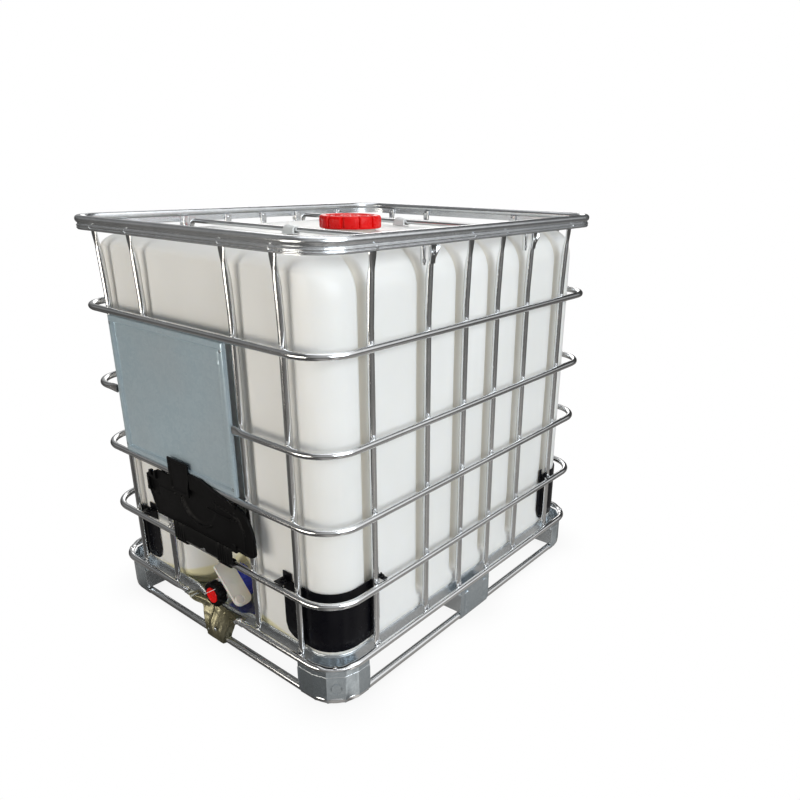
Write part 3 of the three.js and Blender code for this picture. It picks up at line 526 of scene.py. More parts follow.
def upright_shape():
    """An upright on the front wall, from its own middle: x across, y outwards (negative)."""
    marks = [  # height, half depth, half width, shift outwards, squareness
        (0.103, 0.0033, 0.0118, 0.0055, 0.45),
        (0.119, 0.0033, 0.0118, 0.0055, 0.45),
        (0.1275, 0.006, 0.0106, 0.003, 0.8),
        (0.137, 0.009, 0.009, 0.0, 1.0),
        (0.2, 0.009, 0.009, 0.0, 1.0),
        (0.94, 0.009, 0.009, 0.0, 1.0),
        (1.03, 0.009, 0.009, 0.0034, 1.0),
        (1.052, 0.008, 0.0086, 0.0052, 1.0),
        (1.064, 0.0062, 0.0079, 0.0068, 0.9),
        (1.074, 0.0048, 0.0084, 0.0084, 0.6),
        (1.086, 0.0037, 0.01, 0.0098, 0.5),
        (1.096, 0.0034, 0.0112, 0.0105, 0.45),
        (1.1177, 0.0034, 0.0116, 0.0105, 0.45),
    ]
    sections = []
    for first, second in zip(marks, marks[1:]):
        count = 3 if second[0] - first[0] < 0.03 else 6
        for i in range(count):
            sections.append([lerp(a, b, i / count) for a, b in zip(first, second)])
    rows = []
    for z, depth, width, shift, power in sections + marks[-1:]:
        row = []
        for c, s in circle(1, 1, 20):
            x = width * math.copysign(abs(c) ** power, c)
            row.append((x, -shift - depth * math.copysign(abs(s) ** power, s), z))
        rows.append(row)
    return Shape().grid(rows, caps=True)


def bracket_shape():
    """The eared bracket that bolts a top bar through an upright."""
    rows = []
    for share in steps(0, 1, 16):
        z = lerp(1.058, 1.101, share)
        half = lerp(0.0088, 0.0168, ease(share, 0.15, 0.95))
        reach = lerp(0.013, 0.0152, ease(share, 0.0, 0.5))
        front, back = [], []
        for across in steps(-1, 1, 16):
            ear = ease(abs(across), 0.5, 1.0) * 0.0052 * ease(share, 0.25, 0.8)
            front.append((across * half, -reach - ear, z))
            back.append((across * half * 0.98, -reach + 0.0017 - ear, z))
        rows.append(front + back[::-1])
    plate = Shape().grid(rows, caps=True)
    screw_head(plate, (0, -0.0151, 1.0835), FORWARD, 0.0056, 0.0046)
    return plate


def add_uprights():
    plain, bracket = upright_shape(), bracket_shape()
    for degrees, label, places in (
        (0, "front", FRONT_UPRIGHTS),
        (180, "back", FRONT_UPRIGHTS),
        (90, "right", SIDE_UPRIGHTS),
        (270, "left", SIDE_UPRIGHTS),
    ):
        turn = Matrix.Rotation(math.radians(degrees), 4, "Z")
        outward = turn @ Vector((0, -1, 0))
        short_side = places == FRONT_UPRIGHTS
        for number, along in enumerate(places, 1):
            wall = outward * (0.5727 if short_side else 0.4727)
            shift = Vector((along, wall.y, 0)) if short_side else Vector((wall.x, along, 0))
            place = Matrix.Translation(shift) @ turn
            shape = plain.moved(place)
            if number in (2, 5) and not short_side:
                shape.take(bracket, place)
            else:
                outer = shift + outward * 0.0068
                screw_head(shape, (outer.x, outer.y, 1.11), -outward, 0.0045, 0.002)
            screw_head(shape, (shift.x, shift.y, 0.1095), -outward, 0.004, 0.0016)
            node = f"upright_{label}_{number}"
            make(node + "_tube", shape, ZINC_TUBE, nodes=(node,), sharp=50)


def saddle_section(x):
    """The arch of a saddle, in (along Y, height) corners, at x along the bar."""
    rise = 1 - 0.16 * ease(x, -0.009, 0.022)
    if x < -0.009:
        rise = math.sqrt(max(0.0, 1 - ((x + 0.009) / 0.0132) ** 2))
    top = lerp(1.0975, 1.1195, rise)
    inner = min(1.1152, top - 0.0028)
    leg = [(0.0145, 1.0956), (0.0145, max(1.0958, top - 0.009)), (0.0125, max(1.096, top - 0.004))]
    leg.append((0.0085, top - 0.0008))
    inside = [(0.0086, 1.0956), (0.0086, max(1.0957, inner - 0.003)), (0.0045, inner)]
    outer = [(-a, b) for a, b in leg] + [(0, top)] + leg[::-1]
    return outer + inside + [(-a, b) for a, b in inside[::-1]]


def add_top_bars():
    side = [(-0.456, 1.0525), (-0.456, 1.066)] + arc(-0.438, 1.089, 0.018, 180, 90, 8)
    side += [(-0.38 + 0.0475 * i, 1.107) for i in range(8)]
    route = side + [(0, 1.107)] + [(-x, z) for x, z in side[::-1]]

    def flat(i):
        end = min(i, len(route) - 1 - i)
        return ((1, 0.55), (1, 0.55), (1, 0.8), (0.93, 0.93))[min(end, 3)]

    for name, y in (("front", -BAR_Y), ("back", BAR_Y)):
        shape = Shape().tube([(x, y, z) for x, z in route], 0.007, 18, flat)
        for end in (-1, 1):
            screw_head(shape, (end * 0.4598, y, 1.0625), (end, 0, 0), 0.0045, 0.002)
        make(f"top_bar_{name}_rod", shape, ZINC_TUBE, nodes=(f"top_bar_{name}",), sharp=45)
        rows = [[(x, y + a, b) for a, b in saddle_section(x)] for x in steps(-0.022, 0.022, 24)]
        saddle = Shape().grid(rows, caps=True)
        make(f"bar_saddle_{name}", saddle, WHITE, nodes=(f"bar_clip_{name}",), sharp=45)


def add_plate():
    left, right, bottom, top, face = -0.33, 0.172, 0.5, 0.888, -0.598

    def ladder(low, high, extra=()):
        bends = (0.0, 0.0015, 0.004, 0.0145, 0.0165, 0.0185, 0.0215, 0.024)
        marks = [low + b for b in bends] + [high - b for b in bends]
        return sorted({round(m, 5) for m in marks + steps(low + 0.03, high - 0.03, 26) + list(extra)})

    def depth(x, z):
        edge = min(x - left, right - x, z - bottom, top - z)
        curl = 0.0022 * (1 - ease(edge, 0, 0.0035))
        sunk = 0.0064 * ease(edge, 0.015, 0.0182) - 0.0016 * ease(edge, 0.019, 0.024)
        fold = 0.0011 * (1 - ease(abs(z - 0.834), 0.0, 0.005)) * ease(edge, 0.014, 0.03)
        return curl + sunk - fold + 0.0009 * wobble((x, 0, z), 6) * ease(edge, 0.02, 0.08)

    def ring(inset, back):
        inner = [(min(max(x, left + inset), right - inset), z) for x, z in rim]
        return [(x, face + back, min(max(z, bottom + inset), top - inset)) for x, z in inner]

    xs, zs = ladder(left, right), ladder(bottom, top, (0.826, 0.83, 0.834, 0.838, 0.842))
    rim = [(x, bottom) for x in xs] + [(right, z) for z in zs[1:]]
    rim += [(x, top) for x in xs[-2::-1]] + [(left, z) for z in zs[-2:0:-1]]
    shape = Shape().sheet([[(x, face + depth(x, z), z) for x in xs] for z in zs])
    folds = ((0, 0.0022), (0, 0.006), (0, 0.011), (0.001, 0.0118), (0.01, 0.0118), (0.0102, 0.01))
    shape.grid([ring(inset, back) for inset, back in folds])
    make("sign_board", shape, PLATE_ZINC, nodes=("sign_plate",), sharp=28, solid=0.0006)
    rivets = Shape()
    for x in (-0.322, 0.164):
        for z in (0.52, 0.868):
            screw_head(rivets, (x, face + 0.0008, z), FORWARD, 0.003, 0.0008)
    make("sign_rivets", rivets, ZINC_BRIGHT)


# ---- Pallet -------------------------------------------------------------------------


def add_tray():
    def section(x, y):
        top = 0.123
        if y <= -0.5:
            top = 0.1232 - 0.018 * (1 - ease(abs(x - 0.005), 0.072, 0.128))
        wave = 0.0005 * wobble((x, y, 0), 14)
        corners = [(-0.002, 0.0845), (0.0, 0.0845), (0.0, 0.09), (-0.0006 + wave, 0.096)]
        corners += [(-0.0006 + wave, top - 0.012), (0.0, top - 0.0075)]
        corners += arc(-0.0032, top - 0.0034, 0.0032, -70, 170, 8)
        corners += [(-0.0038, top - 0.0075), (-0.0028 + wave, top - 0.012)]
        return corners + [(-0.0028 + wave, 0.096), (-0.0022, 0.09)]

    stations = loop(0.458, 0.558, 0.08, pitch=0.008)
    shape = sweep_loop(Shape(), stations, 0, section)
    floor = []
    for share in steps(0, 1, 13):
        z = 0.0842 + 0.0009 * ease(abs(math.sin(7 * math.pi * share)), 0.75, 1.0)
        floor.append([(x * (1 - share * 0.999), y * (1 - share * 0.999), z) for x, y, out in stations])
    shape.grid(floor)
    make("pallet_tray", shape, ZINC_SHEET, nodes=("tray",), sharp=40)


def add_ground_ring():
    section = circle(0.01, 0.01, 20)
    shape = sweep_loop(Shape(), loop(0.477, 0.577, 0.081, pitch=0.02), 0.01, lambda x, y: section)
    make("ground_ring_tube", shape, ZINC_TUBE, nodes=("ground_ring",), sharp=50)


def folded(points, depth, radius):
    """A polyline with its corners eased, and small outward creases kept at them."""
    result = [points[0]]
    for before, here, after in zip(points, points[1:], points[2:]):
        a = (before - here).normalized() * radius
        b = (after - here).normalized() * radius
        result += [here + a * 1.6, here + a * 0.7, here + (a + b) * depth, here + b * 0.7, here + b * 1.6]
    return result + points[-1:]


def lip_curl(z, top):
    """How far a foot's wall leans in at its rolled lower edge and at its top."""
    return 0.0045 * (1 - ease(z, 0.0, 0.012)) + 0.0014 * ease(z, top, FOOT_TOP)


def corner_foot():
    """The front right foot: pressed panels, a round boss, a lip and end returns."""
    centre = Vector((CORNER_X, -CORNER_Y))
    outline = [Vector((0.35, -0.591)), Vector((0.38, -0.591))]
    for angle in (-84, -60, -30, -6):
        outline.append(centre + Matrix.Rotation(math.radians(angle), 2) @ Vector((0.0948, 0)))
    outline += [Vector((0.491, -0.48)), Vector((0.491, -0.466))]
    smooth = folded(outline, -0.42, 0.0046)
    dense = []
    for a, b in zip(smooth, smooth[1:]):
        count = max(int((b - a).length / 0.0025), 1)
        dense += [a.lerp(b, i / count) for i in range(count)]
    dense.append(smooth[-1])
    middle = Vector((math.sqrt(0.5), -math.sqrt(0.5)))
    levels = [0.0, 0.0014, 0.0035, 0.0065, 0.01, 0.014, 0.018]
    levels += [0.018 + 0.0025 * i for i in range(1, 30)] + [0.0945, 0.0972, 0.099, 0.1005, 0.1018, 0.103]

    def pressed(p, z):
        inward = (centre - p).normalized() if (p - centre).length > 0.03 else Vector((0, 1))
        from_boss = math.hypot((p - centre).dot(middle.orthogonal()), z - 0.046)
        boss = 0.0
        if (p - centre).dot(middle) > 0.07:
            boss = 0.0016 * (ease(from_boss, 0.0125, 0.0142) - ease(from_boss, 0.015, 0.0175))
            boss += 0.0008 * (1 - ease(from_boss, 0.011, 0.013))
        dent = 0.0036 + 0.0004 * wobble((p.x, p.y, z), 14, 3)
        spot = p + inward * (lip_curl(z, 0.0972) + boss + dent)
        return (spot.x, spot.y, z)

    wall = Shape().sheet([[pressed(p, z) for p in dense] for z in levels])
    plate = [p.lerp(centre, 0.03) for p in dense] + [Vector((0.35, -0.466))]
    top = Shape().grid([[(p.x, p.y, z) for p in plate] for z in (0.0835, 0.0809)], caps=True)
    top.box((0.35, -0.589, 0.022), (0.3525, -0.523, 0.0812))
    top.box((0.423, -0.4685, 0.022), (0.489, -0.466, 0.0812))
    return wall, top


def centre_foot():
    """The foot in the middle of the +X wall: a faced channel with two pressed ribs."""
    half = [0.072, 0.0712, 0.0695, 0.066, 0.06, 0.052, 0.0475, 0.044, 0.04, 0.0355, 0.03]
    ys = [-y for y in half] + [-0.03 + 0.006 * i for i in range(1, 10)] + half[::-1]
    levels = [0.0, 0.0014, 0.0035, 0.0065, 0.01, 0.016] + [0.016 + 0.004 * i for i in range(1, 20)]
    levels += [0.0955, 0.0985, 0.1008, 0.103]

    def pressed(y, z):
        edge = 0.0035 * (1 - ease(0.072 - abs(y), 0.0, 0.0035))
        rib = 0.0042 * ease(abs(y), 0.0355, 0.041) * (1 - ease(abs(y), 0.0505, 0.056))
        rib *= ease(z, 0.012, 0.02) * (1 - ease(z, 0.088, 0.096))
        dent = 0.0006 + 0.0004 * wobble((HOOP_X, y, z), 14, 5)
        return (HOOP_X - lip_curl(z, 0.0985) - edge - rib - dent, y, z)

    wall = Shape().sheet([[pressed(y, z) for y in ys] for z in levels])
    top = Shape().box((0.423, -0.072, 0.0809), (0.4895, 0.072, 0.0835))
    for y in (-0.072, 0.0695):
        top.box((0.423, y, 0.022), (0.487, y + 0.0025, 0.0812))
    return wall, top


def add_feet():
    centres = {
        "right": Matrix.Identity(4),
        "left": Matrix.Rotation(math.pi, 4, "Z"),
        "back": Matrix.Translation((0, 0.1, 0)) @ Matrix.Rotation(math.pi / 2, 4, "Z"),
    }
    for (wall, top), places, sharp in ((corner_foot(), QUARTERS, 18), (centre_foot(), centres, 38)):
        for name, place in places.items():
            node = "foot_" + name
            make(node + "_wall", wall.moved(place), FOOT_ZINC, nodes=(node,), sharp=sharp, solid=0.0024)
            make(node + "_plate", top.moved(place), ZINC_SHEET, bevel=0.0008)


def chute_half(z):
    """Half the chute's width: a narrow foot, and a flare into the flanges."""
    return 0.046 + 0.026 * ease(z, 0.0, 0.085) + 0.04 * ease(z, 0.08, FOOT_TOP) ** 1.5


def chute_spot(v, across):
    """A point of the chute. v runs up the face to 1 and then back over the ledge."""
    z = FOOT_TOP * min(v, 1.0)
    back = 0.0336 * ease(v, 1.0, 57 / 43)
    side = abs(across)
    hollow = 0.031 * ease(z, 0.016, FOOT_TOP) * (1 - side**2.6)
    flank = 0.022 * ease(side, 0.8, 1.0) * (1 - ease(z, 0.07, 0.098))
    spot = (across * 0.09, z, back)
    crease = 0.0026 * abs(wobble(spot, 26, 2)) + 0.0014 * abs(wobble(spot, 60, 6))
    fold = 0.0075 * math.exp(-(((across + 0.34 - 0.12 * v) / 0.09) ** 2)) * ease(z, 0.012, 0.05)
    push = (crease + fold * 0.25) * (1 - 0.7 * ease(side, 0.9, 1.0))
    dip = 0.01 * ease(v, 0.62, 1.0) * (1 - side**3)
    out = max(max(0.0, hollow - fold) + flank + push + 0.0004, back)
    return (across * chute_half(z), -0.594 + out, max(z - dip, 0.0012))


def add_chute():
    """A pressed funnel below the valve: two rolled flanks and a hollow that opens upwards."""
    rows = [[chute_spot(i / 43, across) for across in steps(-1, 1, 80)] for i in range(58)]
    shape = Shape().sheet(rows)
    make("drip_chute", shape, CHUTE_TIN, nodes=("valve_chute",), sharp=60, solid=0.0022)
    trim = Shape()
    for side in (-1, 1):
        rows = []
        for x in steps(side * 0.0965, side * 0.1335, 16):
            ys = steps(-0.5925, -0.5685, 10)
            rows.append([(x, y, 0.1014 + 0.0013 * wobble((x, y, 0), 60, 4)) for y in ys])
        trim.sheet(rows)
    make("chute_flanges", trim, ZINC_SHEET, sharp=60, solid=0.0018)
    rivets = Shape()
    screw_head(rivets, (0.004, -0.5915, 0.034), FORWARD, 0.0045, 0.0022)
    screw_head(rivets, (-0.028, -0.5915, 0.02), FORWARD, 0.003, 0.0016)
    make("chute_rivets", rivets, ZINC_SHEET, sharp=45)


def add_guards():
    """Black sheets between the bottle's lower corners and the cage."""
    outline = [(x, -0.5579, Vector((0, -1, 0))) for x in steps(0.285, 0.377, 13)]
    for a, b in arc(0, 0, 1, -90, 0, 16)[1:]:
        outline.append((0.377 + 0.0809 * a, -0.477 + 0.0809 * b, Vector((a, b, 0))))
    outline += [(0.4579, y, Vector((1, 0, 0))) for y in steps(-0.477, -0.398, 12)[1:]]
    lengths = [0.0]
    for a, b in zip(outline, outline[1:]):
        lengths.append(lengths[-1] + math.hypot(b[0] - a[0], b[1] - a[1]))
    rows = []
    for v in steps(0, 1, 33):
        front, back = [], []
        for (x, y, out), along in zip(outline, lengths):
            end = min(along, lengths[-1] - along)
            z = lerp(0.1325 + rounded(end, 0.04), 0.302 - rounded(end, 0.008), v)
            lip = 0.0004 * (1 - ease(abs(z - 0.15), 0.0, 0.004))
            away = 0.0033 - 0.0018 * (1 - ease(z, 0.138, 0.16)) + lip
            front.append(Vector((x, y, z)) + out * away)
            back.append(Vector((x, y, z)) + out * (away - (0.0022 if z > 0.16 else 0.0012)))
        rows.append(front + back[::-1])
    shape = Shape().grid(rows, caps=True)
    for low, high in (
        ((0.285, -0.561, 0.296), (0.317, -0.5583, 0.3235)),
        ((0.285, -0.5905, 0.3037), (0.317, -0.5595, 0.3065)),
        ((0.4583, -0.412, 0.296), (0.4612, -0.398, 0.3235)),
        ((0.4595, -0.412, 0.3037), (0.4905, -0.398, 0.3065)),
    ):
        shape.box(low, high)
    washer = [(0.0085, 0.3066), (0.0085, 0.309), (0.0068, 0.3098), (0.0052, 0.309), (0.0048, 0.3068)]
    pin = [(0.0001, 0.31), (0.0026, 0.31), (0.0026, 0.3165), (0.0014, 0.3175), (0.0001, 0.3175)]
    for centre in ((0.301, -0.5752, 0), (0.4752, -0.405, 0)):
        shape.turned(washer, centre, sides=20)
        shape.turned(pin, centre, sides=12)
    for name, place in QUARTERS.items():
        node = "corner_guard_" + name
        make(node + "_sheet", shape.moved(place), GUARD, nodes=(node,), sharp=35, bevel=0.0005)


# ---- Bottle and lid -----------------------------------------------------------------


def crease(x):
    """Height of the edge of the valve pocket on the bottle's front wall."""
    return 0.108 + 0.165 / (1 + math.hypot(x, 0.008) / 0.06) - 0.008 * ease(abs(x), 0.207, 0.321)


def recess(x, z):
    """The shallower bay around the valve, between the middle uprights."""
    return 0.086 * (1 - ease(abs(x), 0.055, 0.176)) * (1 - ease(z, 0.258, 0.314))


def pocket_depth(x, z):
    far = abs(x)
    reach = 0.008 + 0.103 * (1 - ease(far, 0.08, 0.205))
    reach *= 1 - ease(far, 0.3, 0.345)
    run = lerp(0.045, 0.075, ease(far, 0.06, 0.14))
    return max(reach * ease(crease(x) - z, 0.0, run), recess(x, z))


def bottle_profile():
    """Rows of the skin from the ground up: (height, inset of the long walls, inset of the short
    walls, channel strength)."""
    rows = []
    for a, b in arc(0, 0, 0.05, 0, 90, 14):
        rows.append((BOTTLE_SHOULDER - a, 0.05 - b, 0.05 - b, 0.0))
    z = BOTTLE_SHOULDER
    while z < 1.0:
        z += 0.0045 if z < 0.27 else 0.009
        rows.append((min(z, 1.004), 0.0, 0.0, ease(z, 0.15, 0.185)))
    for i, (a, b) in enumerate(arc(0, 0, 1, 0, 90, 30)[1:], 1):
        height = 1.005 + 0.0898 * b
        rise = max(0.0, height - 1.0568) / 0.038
        short = 0.09 * (1 - math.sqrt(max(0.0, 1 - rise * rise)))
        rows.append((height, 0.09 * (1 - a), short, 1 - (i / 30) ** 1.8))
    return rows


def bottle_wall(station, row):
    """A point of the skin, with its painted shade in the grooves and its painted shade low down and in the
    valve pocket.
    """
    x, y, out = station
    z, inset_x, inset_y, channel = row
    round_x, round_y = max(BOTTLE_CORNER - inset_x, 0.006), max(BOTTLE_CORNER - inset_y, 0.006)
    end_x, end_y = BOTTLE_X - inset_x - round_x, BOTTLE_Y - inset_y - round_y
    flat = abs(out.x * out.y) < 1e-6
    groove = pillow = 0.0
    if not flat:
        px = math.copysign(end_x, x) + round_x * out.x
        py = math.copysign(end_y, y) + round_y * out.y
    elif abs(out.y) > 0.5:
        gap = min(abs(x - u) for u in FRONT_UPRIGHTS)
        groove = 0.3 * (1 - ease(gap, 0.0045, 0.02))
        px = lerp(x, x * end_x / (BOTTLE_X - BOTTLE_CORNER), ease(abs(x), 0.3, 0.377))
        py = y - inset_y * out.y
    else:
        gap = min(abs(y - u) for u in SIDE_UPRIGHTS)
        groove = 1 - ease(gap, 0.0045, 0.02)
        pillow = 0.003 * (1 - ease(gap, 0.019, 0.06)) * channel
        px = x - inset_x * out.x
        py = lerp(y, y * end_y / (BOTTLE_Y - BOTTLE_CORNER), ease(abs(y), 0.4, 0.477))
    sink = 0.0178 * groove * channel + pillow
    # Painted shade on the rounded base below the shoulder.
    painted_low_shade = 0.65 * ease(BOTTLE_SHOULDER - z, 0.002, 0.03)
    if flat and out.y < -0.5:
        deep = pocket_depth(x, z)
        sink = sink * (1 - ease(deep, 0.004, 0.03)) + max(deep - inset_y, 0.0)
        # Painted shade under the valve pocket's crease and in the bay round the valve.
        under = ease(crease(x) - z, 0.0, 0.01) * (1 - ease(abs(x), 0.33, 0.35))
        painted_low_shade = max(under, 0.45 * ease(recess(x, z), 0.012, 0.07), 0.75 * ease(BOTTLE_SHOULDER - z, 0.0, 0.03))
    if not flat:
        sink += 0.0011 * math.exp(-(((z - 0.395) / 0.012) ** 2))
        sink += 0.0008 * math.exp(-(((z - 0.455) / 0.01) ** 2))
    sink += (0.0006 + 0.0006 * wobble((x, y, z), 7)) * (1 - inset_x / 0.1)
    # The second value is painted shade in the channels, the third is painted shade low down and in the valve
    # pocket.
    return (px - out.x * sink, py - out.y * sink, z), groove * channel * (0.9 if z > 0.15 else 0.3), painted_low_shade


def add_bottle():
    stations = loop(BOTTLE_X, BOTTLE_Y, BOTTLE_CORNER, pitch=0.0052, corner_steps=22)
    skin = [[bottle_wall(station, row) for station in stations] for row in bottle_profile()]
    rows = [[spot for spot, groove, painted_low_shade in line] for line in skin]
    top = []
    for share in steps(0, 1, 20)[1:]:
        line = []
        for px, py in [(x * (1 - share), y * (1 - share)) for x, y, z in rows[-1]]:
            reach = math.hypot(px, py)
            ring = 0.0035 * (1 - ease(reach, 0.112, 0.124)) - 0.002 * (1 - ease(reach, 0.085, 0.092))
            panel = 0.0018 * ease(share, 0.06, 0.12) * (1 - ease(reach, 0.15, 0.2) * 0.3)
            line.append((px, py, 1.0948 - max(ring, 0) - panel))
        top.append(line)
    base = []
    for share in steps(1, 0, 8)[:-1]:
        z = 0.0863 + 0.003 * ease(share, 0.05, 0.3)
        base.append([(x * (1 - share), y * (1 - share), z) for x, y, _ in rows[0]])
    shape = Shape().grid(base + rows + top)
    under, over = len(base) * len(stations), len(top) * len(stations)
    # Painted shade in the grooves, and painted shade low down: 0.65 on the hidden base and 0.3 on the neck
    # and the spout.
    groove_shades = [0.0] * under + [groove for line in skin for spot, groove, painted_low_shade in line] + [0.0] * over
    painted_shades = [0.65] * under + [painted_low_shade for line in skin for spot, groove, painted_low_shade in line] + [0.0] * over
    neck = [(0.074, 1.092), (0.074, 1.114), (0.0735, 1.1218), (0.0715, 1.122), (0.0695, 1.1215)]
    shape.turned(neck + [(0.0695, 1.09)], sides=64)
    spout = [(0.043, -0.444), (0.037, -0.45), (0.033, -0.46), (0.032, -0.47)]
    spout += [(0.032, -0.5045), (0.0265, -0.5048), (0.0265, -0.46)]
    shape.turned(spout, OUTLET, axis="y", sides=48)
    extra = len(shape.points) - len(groove_shades)
    values = {"groove": groove_shades + [0.0] * extra, "low_shade": painted_shades + [0.3] * extra}
    make("bottle_skin", shape, BOTTLE, nodes=("bottle",), sharp=60, painted_shades=values)


def lugged(count, dip, width):
    """An outline with wide lugs and narrow hollows between them."""

    def outline(angle, radius):
        share = (angle * count / (2 * math.pi)) % 1.0
        return radius - dip * (1 - ease(min(share, 1 - share), width * 0.4, width))

    return outline


def add_lid():
    shape = Shape()
    outer = [(0.0866, 1.1002), (0.0884, 1.101), (0.089, 1.1024), (0.088, 1.1036)]
    shape.turned(outer + [(0.08, 1.1036), (0.08, 1.1002)], sides=96)
    body = [(0.08, 1.103), (0.0892, 1.1034), (0.0896, 1.106), (0.0896, 1.118), (0.0894, 1.127)]
    body += [(0.0886, 1.131), (0.0866, 1.134), (0.0836, 1.1355), (0.079, 1.1358), (0.074, 1.1354)]
    shape.turned(body + [(0.0735, 1.13), (0.08, 1.129)], sides=240, outline=lugged(12, 0.0062, 0.12))
    roof = [(0.079, 1.129), (0.079, 1.1352), (0.072, 1.1352), (0.07, 1.1342), (0.069, 1.1318)]
    roof += [(0.056, 1.1314), (0.0545, 1.133), (0.0525, 1.133), (0.051, 1.1312), (0.03, 1.131)]
    roof += [(0.0285, 1.134), (0.026, 1.1345), (0.0235, 1.134), (0.022, 1.1318), (0.006, 1.1318)]
    roof += [(0.005, 1.133), (0.0002, 1.133), (0.0002, 1.1265), (0.078, 1.1265)]
    shape.turned(roof, sides=96)
    for k in range(6):
        turn = Matrix.Rotation(math.radians(60 * k + 15), 4, "Z")
        shape.box((0.0305, -0.0012, 1.13), (0.069, 0.0012, 1.134), turn)
    make("screw_lid_shell", shape, RED, "screw_lid", nodes=("lid",), sharp=38)


# ---- Valve --------------------------------------------------------------------------


def valve_frame():
    """The valve's own frame: along the closed lever, along Y, and up the stem."""
    root = math.sqrt(0.5)
    columns = Matrix(((root, 0, root), (0, 1, 0), (-root, 0, root))).to_4x4()
    return Matrix.Translation((0, VALVE_Y, OUTLET[2])) @ columns


def add_nut():
    profile = [(0.047, -0.4725), (0.049, -0.4735), (0.0497, -0.476), (0.0497, -0.5105)]
    profile += [(0.0488, -0.514), (0.0465, -0.5158), (0.038, -0.5158), (0.037, -0.514)]
    profile += [(0.0325, -0.514), (0.0325, -0.4725)]
    nut = Shape().turned(profile, OUTLET, axis="y", sides=220, outline=lugged(22, 0.0016, 0.3))
    make("union_nut", nut, BLUE, nodes=("valve_nut",), sharp=45)


def add_housing():
    profile = [(0.025, -0.5052), (0.031, -0.5052), (0.031, -0.524), (0.0325, -0.5262)]
    profile += [(0.0352, -0.53), (0.036, -0.533), (0.036, -0.556), (0.035, -0.5585)]
    profile += [(0.0318, -0.5605), (0.0296, -0.5612), (0.0294, -0.5735), (0.025, -0.574)]
    body = Shape().turned(profile, OUTLET, axis="y", sides=72)
    boss = [(0.0065, 0.027), (0.013, 0.027), (0.013, 0.044), (0.0122, 0.0485), (0.0105, 0.0497)]
    body.turned(boss + [(0.0065, 0.0498)], sides=40, turn=valve_frame())
    for k in range(8):
        spin = Matrix.Translation(OUTLET) @ Matrix.Rotation(math.radians(45 * k + 22), 4, "Y")
        body.box((0.0345, -0.5555, -0.0012), (0.0359, -0.5335, 0.0012), spin)
    make("valve_housing", body, CLOUDY, nodes=("valve_body",), sharp=40)


def add_lever():
    outline = arc(0.054, -0.007, 0.02, -90, 0, 8) + arc(0.054, 0.007, 0.02, 0, 90, 8)
    outline += arc(-0.058, 0.023, 0.004, 90, 180, 4) + arc(-0.058, -0.023, 0.004, 180, 270, 4)

    def inset(value, by):
        return value - math.copysign(min(by, abs(value)), value)

    rows = [[(x * (1 - s), y * (1 - s), 0.0545) for x, y in outline] for s in (0.98, 0.6, 0.2)]
    edge = ((0.0022, 0.0542), (0.0006, 0.0542), (0.0, 0.055), (0.0, 0.0612), (0.0005, 0.0618))
    for by, height in edge + ((0.0013, 0.062), (0.0036, 0.062), (0.0043, 0.0612)):
        rows.append([(inset(x, by), inset(y, by), height) for x, y in outline])
    inner = rows[-1]
    for share in (0.25, 0.5, 0.75, 0.98):
        z = 0.0612 + 0.0006 * math.sin(3 * share)
        rows.append([(x * (1 - share), y * (1 - share), z) for x, y, _ in inner])
    lever = Shape().grid(rows)
    hub = [(0.0062, 0.0512), (0.0155, 0.0512), (0.016, 0.053), (0.016, 0.056), (0.0062, 0.056)]
    lever.turned(hub, sides=40)
    cap = [(0.0125, 0.061), (0.0122, 0.0622), (0.0108, 0.063), (0.007, 0.0632), (0.0064, 0.0624)]
    lever.turned(cap + [(0.0004, 0.0624)], sides=40)
    button = [(0.0152, 0.0608), (0.015, 0.069), (0.0146, 0.0704), (0.0136, 0.071), (0.0118, 0.071)]
    button += [(0.011, 0.07), (0.0106, 0.067), (0.0004, 0.0668)]
    lever.turned(button, (0.056, -0.011, 0), sides=44)
    for y in (-0.0205, 0.0205):
        lever.box((-0.05, y - 0.0008, 0.0608), (0.046, y + 0.0008, 0.0619))
    lever.box((-0.0555, -0.0225, 0.0608), (-0.0541, 0.0225, 0.0619))
    placed = lever.moved(valve_frame())
    make("valve_handle", placed, NATURAL, "lever", nodes=("valve_lever",), sharp=35, bevel=0.0003)


def add_cap():
    profile = [(0.03, -0.5622), (0.0358, -0.5622), (0.0366, -0.5632), (0.0369, -0.565), (0.0369, -0.58)]
    profile += [(0.0364, -0.5835), (0.035, -0.5858), (0.033, -0.5868), (0.0238, -0.5868)]
    profile += [(0.0232, -0.585), (0.0232, -0.579), (0.03, -0.578)]
    shell = Shape().turned(profile, OUTLET, axis="y", sides=192, outline=lugged(8, 0.0042, 0.26))
    make("outlet_cap_shell", shell, BLACK, "screw_cap", nodes=("outlet_cap",), sharp=38)
    profile = [(0.0222, -0.58), (0.0224, -0.588), (0.0218, -0.5893), (0.02, -0.5897)]
    profile += [(0.017, -0.5895), (0.016, -0.5888), (0.0002, -0.5886)]
    disc = Shape().turned(profile, OUTLET, axis="y", sides=64)
    make("outlet_cap_disc", disc, RED, "screw_cap", nodes=("cap_disc",), sharp=38)


def add_bag_highlight():
    # A thin white rod along the bright line across the outlet cap, where the valve's dust bag catches the
    # light: a painted highlight.
    path = [(-0.0345, -0.5895, 0.1335), (-0.02, -0.5908, 0.1435), (-0.002, -0.5908, 0.156)]
    path += [(0.012, -0.5895, 0.166), (0.0215, -0.5874, 0.1725)]
    smooth = []
    for a, b in zip(path, path[1:]):
        smooth += [Vector(a).lerp(Vector(b), i / 6) for i in range(6)]
    for _ in range(6):
        inner = [(a + b * 2 + c) / 4 for a, b, c in zip(smooth, smooth[1:], smooth[2:])]
        smooth = [smooth[0], *inner, smooth[-1]]
    make("bag_highlight_rod", Shape().tube(smooth, 0.0008, 8), WHITE, "screw_cap", sharp=60)


# ---- Valve flap ---------------------------------------------------------------------


